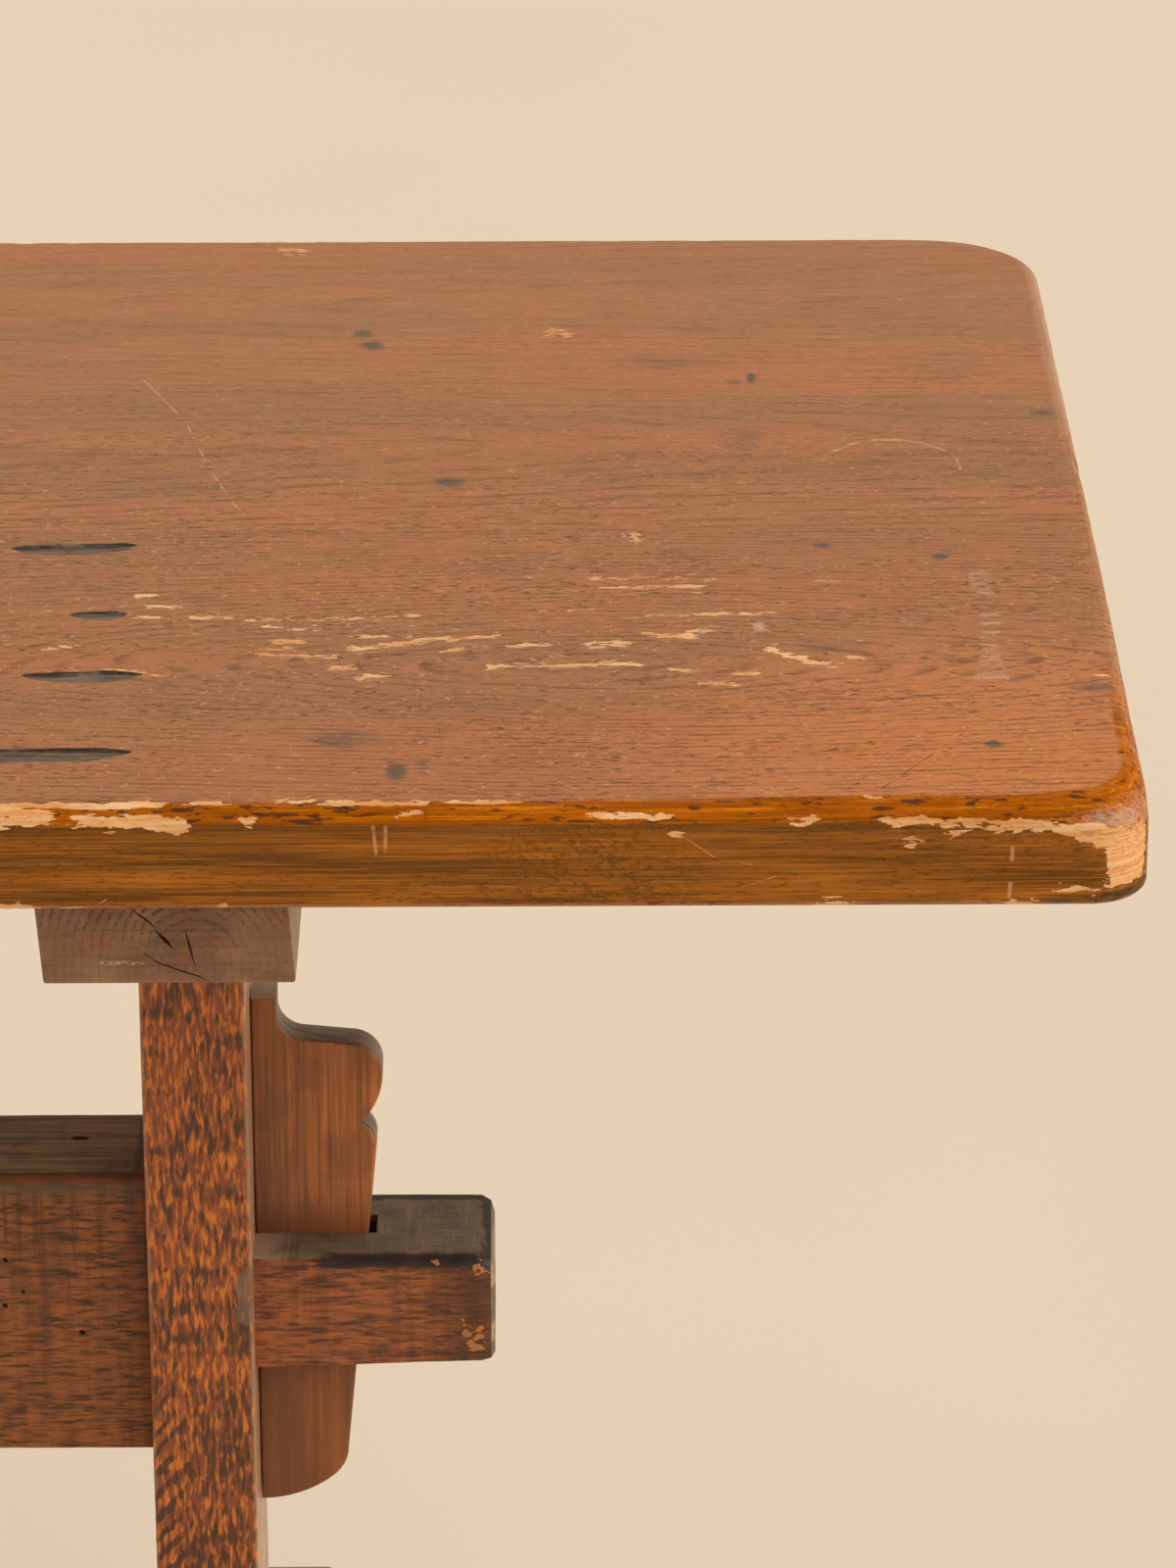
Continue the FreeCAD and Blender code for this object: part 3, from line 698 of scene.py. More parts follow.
def make_post(side, material, seed):
    """The post's shaft, with a chip out of its front outer arris and the mortise of the stretcher's tenon."""
    shell = Shell()
    low, high = post_low, post_high
    first, last = POST_CHIP
    stations = []
    for along, a, b, share in run_of(foot_high[2], batten_low[2], low[:2], high[:2], 4 * MM, 0.4 * MM):
        chipped = smooth(along, first - POST_CHIP_SOFT, first) - smooth(along, last, last + POST_CHIP_SOFT)
        stations.append((along, a, b, (share, share, share, share + (POST_CHIP_SHARE - 1) * chipped)))
    timber(shell, 2, stations, POST_EASE, seed)
    mortise = block((low[0] - MORTISE_PAST, *(TENON_LOW - MORTISE_ROOM)),
                    (high[0] + MORTISE_PAST, *(TENON_HIGH + MORTISE_ROOM)))
    planed = (0.35 * MM, (0.05, 0.05, 0.11), seed + 5)
    chips = [((high[0], low[1], (first + last) / 2), (4.5 * MM, 4.5 * MM, 15 * MM))]
    add_piece(f"{side}_post_timber", shell, side, material, "frame", f"{side}_post", 6 * MM,
              planed, [mortise], chips=chips)


# Splits in the batten's end grain: points along each, as places across and up, with the width at its middle
SPLITS = [
    ([(0.5506, 0.6867), (0.5575, 0.6815), (0.5625, 0.6766)], 1.0 * MM),
    ([(0.5612, 0.6766), (0.5652, 0.6722), (0.5686, 0.6680)], 1.8 * MM),
    ([(0.5731, 0.6778), (0.5749, 0.6690), (0.5771, 0.6595)], 1.1 * MM),
    ([(0.5558, 0.6670), (0.5618, 0.6625), (0.5714, 0.6586), (0.5779, 0.6564), (0.5825, 0.6538)], 0.8 * MM),
]
SPLIT_DEPTH = 14 * MM


def split_cutter(line, width, end_y):
    """A thin wedge that runs along the line, widest in its middle, and narrows into the wood."""
    line = np.array(line)
    normal = np.gradient(line, axis=0)
    normal = np.stack([-normal[:, 1], normal[:, 0]], axis=1)
    normal /= np.linalg.norm(normal, axis=1)[:, None]
    shape = np.sin(np.linspace(0.12, math.pi - 0.12, len(line)))
    rows = []
    for depth, share in ((-2 * MM, 1.1), (0, 1.0), (SPLIT_DEPTH, 0.08)):
        half = (normal.T * shape * width / 2 * share).T
        loop = np.concatenate([line + half, (line - half)[::-1]])
        rows.append(np.insert(loop, 1, end_y + depth, axis=1))
    return make_cutter(rows)


BATTEN_EASE = 0.9 * MM
INNER_LEAN = 4.2 * MM
OUTER_LEAN = 4.0 * MM
LEAN_REACH = 30 * MM


def out_of_square(places):
    """A batten sawn by eye: its inner side leans in below, and its front outer edge falls back above."""
    x, y, z = places.T.copy()
    up = (z - batten_low[2]) / (batten_high[2] - batten_low[2])
    inner = 1 - smooth(x, batten_low[0], batten_low[0] + LEAN_REACH)
    outer = smooth(x, batten_high[0] - LEAN_REACH, batten_high[0])
    outer *= 1 - smooth(y, batten_low[1], batten_low[1] + LEAN_REACH)
    x += INNER_LEAN * inner * (1 - up) - OUTER_LEAN * outer * up
    return np.stack([x, y, z], axis=1)


def make_batten(side, material, seed):
    shell = Shell()
    low, high = batten_low, batten_high
    stations = run_of(low[1], high[1], low[[0, 2]], high[[0, 2]], 6 * MM, 1.0 * MM)
    timber(shell, 1, stations, BATTEN_EASE, seed, per_side=8)
    cutters = [split_cutter(line, width, low[1]) for line, width in SPLITS]
    planed = (0.2 * MM, (0.045, 0.12, 0.03), seed + 5)
    add_piece(f"{side}_batten_timber", shell, side, material, "frame", f"{side}_batten",
              7 * MM, planed, cutters, reshape=out_of_square)


# Stretcher: its tenons' places across and up are those of the frame's section past the posts

def section_of(node, axis, place):
    """Lowest and highest corner, across and up, of a node's points beyond a place along an axis."""
    points = place_of(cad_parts[node].data)
    beyond = np.delete(points[points[:, axis] > place], axis, axis=1)
    return beyond.min(axis=0), beyond.max(axis=0)


TENON_LOW, TENON_HIGH = section_of("stretcher", 0, post_high[0] - 1 * MM)
BAR_EASE = 3.0 * MM
TENON_CHAMFER = 6 * MM
TENON_RISE = 2.5 * MM
SLOT_ROOM = 0.25 * MM
SLOT_FLARE = 3.6 * MM
SLOT_INNER = 4 * MM
SLOT_PAST = 20 * MM

# Worm holes in the stretcher: place along and up its front, and radius; and one in its upper face
WORM_HOLES = [(0.4725, 0.394, 1.4 * MM), (0.4717, 0.371, 1.3 * MM), (0.480, 0.378, 1.1 * MM),
              (0.506, 0.357, 1.6 * MM)]
TOP_HOLE = (0.505, 0.008)
TOP_HOLE_RADIUS = 2.2 * MM
TOP_HOLE_STRETCH = 2.2
HOLE_DEPTH = 7 * MM


def hole_cutter(x, y, z, axis, radius, stretch=1.0):
    """A tapering round cutter into a front face (axis 1) or an upper face (axis 2)."""
    rows = []
    for depth, share in ((-1 * MM, 1.1), (0, 1.0), (HOLE_DEPTH, 0.5)):
        ring = []
        for angle in np.linspace(0, 2 * math.pi, 13)[:-1]:
            along, other = stretch * radius * share * math.cos(angle), radius * share * math.sin(angle)
            ring.append((x + along, y + depth, z + other) if axis == 1 else (x + along, y + other, z - depth))
        rows.append(ring)
    return make_cutter(rows)


def make_stretcher(material, seed):
    """The stretcher and its tenons. The front upper arris is worn, most on the tenons, which taper below."""
    low, high = bar_low[1:], bar_high[1:]
    shoulder = post_low[0]
    end = bar_high[0]
    body = run_of(-shoulder, shoulder, low, high, 7 * MM, 0.3 * MM, share=(0.3, 1.5, 0.3, 0.3))
    right = []
    for along, a, b, share in run_of(shoulder, end, TENON_LOW, TENON_HIGH, 2.5 * MM, TENON_CHAMFER,
                                     share=(0.3, 1.7, 0.3, 0.3), open_start=False, turns=3,
                                     low_share=(1, 0.25)):
        rise = TENON_RISE * smooth(along, post_high[0], end)
        right.append((along, a + np.array([0, rise]), b, share))
    left = [(-along, a, b, share) for along, a, b, share in right][::-1]
    shell = Shell()
    timber(shell, 0, left + body + right, BAR_EASE, seed, per_side=8)
    cutters = [slot_cutter(sign) for sign in SIDES.values()]
    cutters.extend(hole_cutter(x, low[0], z, 1, radius) for x, z, radius in WORM_HOLES)
    cutters.append(hole_cutter(*TOP_HOLE, high[1], 2, TOP_HOLE_RADIUS, TOP_HOLE_STRETCH))
    planed = (0.25 * MM, (0.09, 0.03, 0.03), seed + 5)
    boxes = [(np.array([-shoulder, *low]), np.array([shoulder, *high]))]
    for near, far in ((shoulder, end), (-end, -shoulder)):
        boxes.append((np.array([near, *TENON_LOW]), np.array([far, *TENON_HIGH])))
    chips = [((end - 6 * MM, TENON_LOW[0], TENON_HIGH[1] - 5 * MM), (5 * MM, 5 * MM, 7 * MM)),
             ((end - 9 * MM, TENON_LOW[0], TENON_LOW[1] + 16 * MM), (6 * MM, 4 * MM, 10 * MM)),
             ((end - 27 * MM, TENON_LOW[0], TENON_HIGH[1] - 1 * MM), (1.6 * MM, 5 * MM, 6 * MM))]
    add_piece("stretcher_timber", shell, "right", material, "frame", "stretcher", 10 * MM,
              planed, cutters, boxes=boxes, chips=chips)


def outer_at(outline, height):
    """How far out a tusk reaches at a height."""
    return max(p[0] for p in dense(outline, 1 * MM) if abs(p[1] - height) < 1.5 * MM)


def slot_cutter(sign):
    """The tusk's slot through a tenon: its outer wall meets the tusk at the bottom and opens upwards."""
    low, high = TENON_LOW[1], TENON_HIGH[1]
    outline = outline_of("right_tusk", 1)
    foot_reach = outer_at(outline, low) + SLOT_ROOM
    slope = (outer_at(outline, high) + SLOT_FLARE - foot_reach) / (high - low)
    inner = tusk_low[0] - SLOT_INNER
    y0, y1 = tusk_low[1] - SLOT_ROOM, tusk_high[1] + SLOT_ROOM
    rows = []
    for z in (low - SLOT_PAST, high + SLOT_PAST):
        outer = foot_reach + slope * (z - low)
        ring = [(inner, y0), (outer, y0), (outer, y1), (inner, y1)]
        rows.append([(sign * a, sign * b, z) for a, b in ring])
    return make_cutter(rows)


# Shaped plates: the tusks and the feet

SAME_SPOT = 0.02 * MM
SAME_PLANE = 0.01 * MM


def outline_of(node, axis):
    """The outline of a node's face that looks down an axis, as places on the other two axes, in order."""
    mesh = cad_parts[node].data
    points = place_of(mesh)
    flat = np.delete(points, axis, axis=1)
    lowest = points[:, axis].min()
    key_of = [tuple(key) for key in np.round(points / SAME_SPOT).astype(int)]
    spots = {}
    edges = {}
    for face in mesh.polygons:
        loop = list(face.vertices)
        if max(points[v][axis] for v in loop) > lowest + SAME_PLANE:
            continue
        for a, b in zip(loop, loop[1:] + loop[:1]):
            first, second = key_of[a], key_of[b]
            spots[first], spots[second] = flat[a], flat[b]
            if not edges.pop((second, first), False):
                edges[(first, second)] = True
    after = dict(edges.keys())
    start = next(iter(after))
    loop = [start]
    while after[loop[-1]] != start:
        loop.append(after[loop[-1]])
    return np.array([spots[key] for key in loop])


def dense(outline, step):
    """The outline with points added along its long stretches."""
    full = []
    for a, b in zip(outline, np.roll(outline, -1, axis=0)):
        count = max(1, int(np.linalg.norm(b - a) / step))
        full.extend(a + (b - a) * i / count for i in range(count))
    return np.array(full)


def drawn_in(outline, depth):
    """The outline moved into the wood, straight in from its sides."""
    ahead = np.roll(outline, -1, axis=0) - outline
    ahead /= np.linalg.norm(ahead, axis=1)[:, None]
    behind = np.roll(ahead, 1, axis=0)
    side = np.stack([ahead[:, 1], -ahead[:, 0]], axis=1) + np.stack([behind[:, 1], -behind[:, 0]], axis=1)
    length = np.maximum(np.linalg.norm(side, axis=1), 0.8)
    area = np.sum(outline[:, 0] * np.roll(outline[:, 1], -1) - outline[:, 1] * np.roll(outline[:, 0], -1))
    return outline - side / np.square(length)[:, None] * 2 * depth * math.copysign(1, area)


def plate(shell, axis, outline, low, high, ease):
    """A flat plate of an outline, with eased edges and a calm middle."""
    turns = np.linspace(0, math.pi / 2, 4)
    rounded = [(ease * (1 - math.sin(t)), ease * (1 - math.cos(t))) for t in turns]
    layers = [(low, 2 * ease)]
    layers.extend((low + along, depth) for along, depth in rounded[::-1])
    layers.extend((high - along, depth) for along, depth in rounded)
    layers.append((high, 2 * ease))
    shell.tube([np.insert(drawn_in(outline, depth), axis, along, axis=1) for along, depth in layers])


TUSK_EASE = 1.1 * MM
FOOT_EASE = 2.0 * MM


def make_plate(name, side, node, axis, material, body, ease):
    low, high = corners(f"right_{node}")
    shell = Shell()
    outline = dense(outline_of(f"right_{node}", axis), 3 * MM)
    plate(shell, axis, outline, low[axis], high[axis], ease)
    piece = make_object(name, shell)
    places = place_of(piece.data)
    gap = np.minimum(places[:, axis] - low[axis], high[axis] - places[:, axis])
    rim = np.clip(gap / ease, 0, 1)
    set_places(piece.data, half_turned(places, SIDES[side]))
    set_marks(piece.data, {"worn": rim})
    finish_piece(piece, material, body, f"{side}_{node}")


# Materials: every one is built from its nodes, in metres of the frame

class Value:
    """A number, colour or place in a tree. Sums of values become the nodes that work them out."""

    def __init__(self, tree, socket):
        self.tree = tree
        self.socket = socket

    def __add__(self, other):
        return self.tree.sum("ADD", self, other)

    def __sub__(self, other):
        return self.tree.sum("SUBTRACT", self, other)

    def __rsub__(self, other):
        return self.tree.sum("SUBTRACT", other, self)

    def __mul__(self, other):
        return self.tree.sum("MULTIPLY", self, other)

    def __abs__(self):
        return self.tree.sum("ABSOLUTE", self)

    __radd__ = __add__
    __rmul__ = __mul__

    def about(self, share):
        """A noise moved to swing about 0, by that share."""
        return (self - 0.5) * share

    def step(self, low, high):
        """0 at low, 1 at high, and a soft step between."""
        feeds = {"Value": self, "From Min": low, "From Max": high}
        return self.tree.make("ShaderNodeMapRange", feeds, interpolation_type="SMOOTHSTEP")


class Nodes:
    """The node tree of a material or a world."""

    def __init__(self, name, owners=bpy.data.materials):
        self.owner = owners.new(name)
        self.owner.use_nodes = True
        self.nodes = self.owner.node_tree.nodes
        self.links = self.owner.node_tree.links
        self.nodes.clear()
        self.place = self.make("ShaderNodeTexCoord", output="Object")

    def feed(self, socket, value):
        if isinstance(value, Value):
            self.links.new(value.socket, socket)
        else:
            socket.default_value = value

    def make(self, kind, feeds=None, output=0, **settings):
        """A new node with its settings and its fed inputs. Gives one of its outputs."""
        made = self.nodes.new(kind)
        for name, setting in settings.items():
            setattr(made, name, setting)
        for socket, value in (feeds or {}).items():
            self.feed(made.inputs[socket], value)
        return Value(self, made.outputs[output])

    def sum(self, operation, *values):
        return self.make("ShaderNodeMath", dict(enumerate(values)), operation=operation)

    def most(self, first, *others):
        for other in others:
            first = self.sum("MAXIMUM", first, other)
        return first

    def reach(self, first, second):
        """Length of a line that goes so far one way and so far across."""
        return self.sum("SQRT", first * first + second * second)

    def grain(self, along, across, up, shift=(0, 0, 0), detail=2, roughness=0.5, distortion=0.0):
        """Noise with that many bumps per metre on each axis."""
        moved = self.make("ShaderNodeVectorMath", {0: self.place, 1: shift}, operation="ADD")
        spread = self.make("ShaderNodeVectorMath", {0: moved, 1: (along, across, up)}, operation="MULTIPLY")
        feeds = {"Vector": spread, "Scale": 1.0, "Detail": detail, "Roughness": roughness,
                 "Distortion": distortion}
        return self.make("ShaderNodeTexNoise", feeds)

    def mix(self, share, first, second):
        feeds = {0: share, 6: colour(first), 7: colour(second)}
        return self.make("ShaderNodeMix", feeds, output=2, data_type="RGBA")

    def mark(self, name):
        return self.make("ShaderNodeAttribute", output="Fac", attribute_name=name)

    def parts(self, vector):
        first = self.make("ShaderNodeSeparateXYZ", {0: vector})
        return [Value(self, socket) for socket in first.socket.node.outputs]

    def normal(self):
        return self.parts(self.make("ShaderNodeNewGeometry", output="Normal"))

    def line_gap(self, first, second, upright=False):
        """Distance from a straight stretch between two places: on the level, or along and up if upright."""
        x, y, z = self.parts(self.place)
        span_x, span_y = second[0] - first[0], second[1] - first[1]
        square = span_x * span_x + span_y * span_y
        from_x = x - first[0]
        from_y = (z if upright else y) - first[1]
        share = from_x * (span_x / square) + from_y * (span_y / square)
        share = self.sum("MINIMUM", self.most(share, 0.0), 1.0)
        return self.reach(from_x - share * span_x, from_y - share * span_y)

    def surface(self, shown, roughness, height, depth, metallic=0.0, specular=0.5):
        """Colour, roughness, and a bump from a height that is depth metres deep."""
        bump = self.make("ShaderNodeBump", {"Strength": 1.0, "Distance": depth, "Height": height})
        feeds = {"Base Color": colour(shown), "Roughness": roughness, "Metallic": metallic,
                 "Specular IOR Level": specular, "Normal": bump}
        return self.make("ShaderNodeBsdfPrincipled", feeds)

    def end(self, surface, kind="ShaderNodeOutputMaterial"):
        """Ends the tree with its output, and gives the material or world."""
        self.feed(self.nodes.new(kind).inputs["Surface"], surface)
        return self.owner

    def shade(self, *looks, **more):
        return self.end(self.surface(*looks, **more))


def colour(value):
    """Screen colours are written 0 to 255 and turned into the linear numbers that shaders use."""
    if isinstance(value, Value):
        return value
    parts = [part / 255 for part in value]
    linear = [p / 12.92 if p <= 0.04045 else ((p + 0.055) / 1.055) ** 2.4 for p in parts]
    return (*linear, 1.0)


# Colours
TOP_RED = (172, 99, 45)
TOP_OLIVE = (144, 90, 40)
TOP_LATE = (104, 62, 34)
TOP_PORE = (62, 42, 30)
TOP_FIBRE = (192, 126, 82)
TOP_WARM = (208, 116, 36)
EDGE_LIGHT = (204, 122, 36)
EDGE_MID = (162, 97, 35)
EDGE_DARK = (107, 68, 28)
AMBER_LIGHT = (232, 150, 30)
AMBER = (190, 100, 8)
AMBER_DARK = (146, 72, 3)
# Painted sheen on the arris at the back of the ends
END_PAINTED_SHEEN = (183, 137, 105)
BARE_PALE = (240, 192, 138)
BARE_WARM = (220, 152, 90)
GOUGE_GREY = (126, 104, 84)
GOUGE_BROWN = (92, 75, 60)
# Painted shadow in the gouges
GOUGE_PAINTED_SHADOW = (54, 42, 35)
STAIN_DARK = (62, 54, 42)
# Pale for smudges of the finish, and a painted highlight on the corner scuff
FILM_AND_GLINT_PALE = (206, 164, 134)
SCRATCH_PALE = (214, 158, 114)
POST_ORANGE = (222, 124, 36)
POST_BROWN = (142, 73, 38)
POST_DARK = (64, 40, 25)
POST_PALE = (208, 168, 128)
BATTEN_BROWN = (162, 122, 88)
BATTEN_SHADE = (132, 98, 70)
BATTEN_LATE = (70, 50, 40)
BATTEN_RED = (154, 94, 58)
WORN_BEIGE = (164, 130, 96)
BAR_RED = (156, 92, 46)
BAR_ORANGE = (182, 106, 52)
BAR_DARK = (70, 45, 28)
BAR_GREY = (154, 128, 82)
BAR_SHADE = (102, 85, 55)
BAR_RIM = (150, 84, 52)
TENON_GREY = (105, 93, 73)
TENON_RED = (172, 98, 56)
TENON_END = (180, 150, 117)
BLACKENED = (42, 34, 32)
TUSK_BROWN = (207, 124, 63)
TUSK_SHADE = (118, 71, 40)
TUSK_LIGHT = (207, 123, 59)
TUSK_LOW = (118, 71, 40)
TUSK_RIM = (120, 99, 76)
TUSK_RIM_DARK = (78, 64, 50)
# Partly the greyer end grain, partly painted light on the tusk's upper face
TUSK_CROWN_GREY_AND_PAINTED_LIGHT = (178, 164, 140)
PEG_BROWN = (108, 72, 46)
PEG_DARK = (70, 46, 30)
FOOT_BROWN = (134, 80, 46)
FOOT_DARK = (88, 54, 34)
# Pale for a scuff on the batten, and painted light and sheen on faces that look sideways
SCUFF_AND_PAINTED_SIDE_SHEEN = (214, 184, 146)
TONGUE_PALE = (206, 168, 122)
TONGUE_DARK = (180, 136, 90)
STEEL_GREY = (120, 116, 112)
STEEL_DARK = (84, 78, 72)
STEEL_RUST = (110, 70, 46)
FLOOR_BEIGE = (232, 212, 186)
FLOOR_SHADE = (230, 210, 184)


PITH_BOW = 30 * MM


def ring_lines(tree, across, depth, middle, lean, spacing, shift):
    """Growth rings about a pith under a board, nearest the top at one place along it and leaning down from
    there. Gives how far through its ring a place is, from 0 to 1."""
    x, y, z = tree.parts(tree.place)
    slow = tree.grain(3.0, 9.0, 9.0, (shift, shift, 0))
    fine = tree.grain(14.0, 60.0, 60.0, (shift, 0, shift))
    along = x - middle
    bowed = tree.sum("SQRT", along * along + PITH_BOW ** 2)
    deep = z - (top_z - depth) + bowed * lean + slow.about(0.024)
    reach = tree.reach(y - across, deep)
    return tree.sum("FRACT", (reach + fine.about(spacing)) * (1 / spacing))


def board_wood(name, pith, shift, scratches):
    """One board of the top, with its grain, flakes, stains, scratches, gouges and amber arris. Shade is
    painted in the gouges and under the arris, a sheen on the arris towards the back, and a highlight on the
    corner scuff.
    """
    tree = Nodes(name)
    x, y, z = tree.parts(tree.place)
    clear = 0.4 + y.step(0.25, -0.15) * 0.6
    rings = ring_lines(tree, *pith, shift)
    late = rings.step(0.5, 0.86) * (1 - rings.step(0.9, 1.0))
    line = late * tree.grain(34, 160, 160, (shift, 0, 0), detail=3).step(0.38, 0.62) * clear
    strong = tree.grain(9, 40, 40, (shift, shift, 0)).step(0.38, 0.62)
    pores = tree.grain(170, 900, 900, (0, shift, 0), roughness=0.6).step(0.57, 0.66)
    dash = pores * (0.4 + strong * 0.6) * clear
    fibre = tree.grain(30, 1000, 1000, (shift, 0, 0), detail=3)
    cloud = tree.grain(2.6, 9, 9, (0, shift, shift), detail=4, roughness=0.6)
    bands = tree.grain(1.2, 26, 26, (shift, shift, 0), detail=3)
    speck = tree.grain(330, 330, 330, (shift, shift, 0), detail=1).step(0.66, 0.73)
    nick = tree.grain(140, 430, 430, (0, shift, 0)).step(0.69, 0.73) * clear
    hairline = tree.grain(15, 640, 640, (shift, 0, 0)).step(0.57, 0.68) * clear
    blend = cloud * 0.6 + bands * 0.4
    tone = tree.mix(blend.step(0.34, 0.66), TOP_OLIVE, TOP_RED)
    tone = tree.mix(tree.mark("warm") * 0.75, tone, TOP_WARM)
    tone = tree.mix(line * 0.7, tone, TOP_LATE)
    tone = tree.mix(hairline * 0.45, tone, TOP_LATE)
    tone = tree.mix(tree.most(dash, nick) * 0.85, tone, TOP_PORE)
    tone = tree.mix(fibre.step(0.42, 0.72) * 0.3, tone, TOP_FIBRE)
    tone = tree.mix(speck * clear * 0.45, tone, SCRATCH_PALE)

    _, _, normal_z = tree.normal()
    upright = 1 - abs(normal_z).step(0.25, 0.5)
    streak = tree.grain(9, 40, 560, (shift, 0, 0), detail=5, roughness=0.72)
    hair = tree.grain(24, 120, 1500, (0, shift, 0), detail=3)
    broad = tree.grain(5, 40, 90, (shift, 0, 0), detail=3)
    ragged = tree.grain(70, 330, 330, detail=3, roughness=0.6)
    pit = tree.mark("pitted") * tree.grain(330, 330, 460).step(0.52, 0.62)
    # Painted shade: the front face turns darker just under the arris, mixed in with EDGE_DARK below
    under = z.step(top_z - 0.016, top_z - 0.008) * 0.4
    foot = (z + ragged.about(-0.004)).step(under_z + 0.0026, under_z + 0.0012)
    edge = tree.mix((broad + streak.about(0.6)).step(0.32, 0.66), EDGE_DARK, EDGE_MID)
    edge = tree.mix(hair.step(0.48, 0.66) * 0.45, edge, EDGE_LIGHT)
    edge = tree.mix(hair.step(0.47, 0.36) * 0.45, edge, EDGE_DARK)
    edge = tree.mix(tree.most(tree.most(dash, pit) * 0.6, under), edge, EDGE_DARK)
    edge = tree.mix(foot * 0.5, edge, BARE_WARM)
    tone = tree.mix(upright, tone, edge)
    on_arris = (tree.mark("arris") + ragged.about(0.7)).step(0.28, 0.74)
    amber = tree.mix((streak + hair.about(0.6)).step(0.3, 0.66), AMBER_DARK, AMBER)
    amber = tree.mix(hair.step(0.56, 0.72) * 0.5, amber, AMBER_LIGHT)
    split = x.step(0.56, 0.575) * x.step(0.655, 0.62)
    cracked = tree.grain(120, 260, 620, detail=4) + ragged.about(0.4) + split * 0.075
    amber = tree.mix(split * 0.4, amber, AMBER_DARK)
    amber = tree.mix(cracked.step(0.59, 0.66) * 0.8, amber, TOP_PORE)
    # Towards the back the arris band turns to a painted sheen: a pale grey that stands in for a reflection
    fore = y.step(-0.14, -0.27)
    amber = tree.mix(fore, END_PAINTED_SHEEN, amber)
    worn = 0.35 + y.step(0.0, 0.12) * 0.45 + fore * 0.65
    tone = tree.mix(on_arris * worn, tone, amber)

    spot = (tree.mark("stain") + ragged.about(0.9)).step(0.1, 0.85)
    tone = tree.mix(spot * 0.85, tone, STAIN_DARK)
    # Pale smudges of the finish, and on the corner scuff also a painted highlight
    film = tree.mark("film") + tree.grain(300, 420, 300, detail=4, roughness=0.65).about(1.6)
    tone = tree.mix(film.step(0.25, 0.95) * 0.62, tone, FILM_AND_GLINT_PALE)
    crumbs = tree.grain(170, 620, 560, detail=3, roughness=0.6).about(5.0)
    crumbs = crumbs + tree.grain(60, 260, 260).about(3.0)
    peeled, frayed = tree.mark("bare"), tree.mark("frayed")
    bare = (peeled * 1.6 + crumbs).step(0.82, 0.94) * peeled.step(0.02, 0.08)
    crumb = (frayed * 0.2 + crumbs).step(1.15, 1.27) * frayed.step(0.1, 0.3)
    bare = tree.most(bare, crumb)
    pale = tree.mix(tree.grain(30, 30, 620, detail=3).step(0.34, 0.7), BARE_WARM, BARE_PALE)
    tone = tree.mix(bare, tone, pale)
    scratched = 0.0
    broken = tree.grain(90, 150, 150, detail=3).step(0.4, 0.56)
    for points, width, upright_line, shade in scratches:
        on_face = upright if upright_line else 1 - upright
        for first, second in zip(points, points[1:]):
            near = 1 - tree.line_gap(first, second, upright_line).step(width * 0.4, width)
            scratch = near * broken * on_face
            tone = tree.mix(scratch * 0.6, tone, shade)
            scratched = tree.most(scratched, scratch)
    gouge = (tree.mark("gouge") + ragged.about(1.2)).step(0.35, 0.6)
    worn_grey = tree.grain(46, 330, 330, detail=5, roughness=0.65) + fibre.about(0.4)
    grey = tree.mix(worn_grey.step(0.38, 0.62), GOUGE_GREY, GOUGE_BROWN)
    # Painted shadow on the far wall of the gouges, from the dark mark
    grey = tree.mix((tree.mark("dark") + worn_grey.about(2.6)).step(0.25, 1.15), grey, GOUGE_PAINTED_SHADOW)
    tone = tree.mix(gouge, tone, grey)

    rough = 0.38 + bare * 0.3 + gouge * 0.25 + cloud.about(0.25) - on_arris * 0.14
    sunk = tree.most(dash, nick, line * 0.7, hairline * 0.6)
    gloss = 0.54 - tree.most(upright, on_arris) * 0.47 - gouge * 0.2
    gloss = tree.most(gloss - sunk * 0.4, 0.0)
    height = fibre * 0.25 - dash - line * 0.3
    height = height - bare * 0.7 - scratched * 0.6 - pit * 0.8
    return tree.shade(tone, rough, height, 0.00035, specular=gloss)


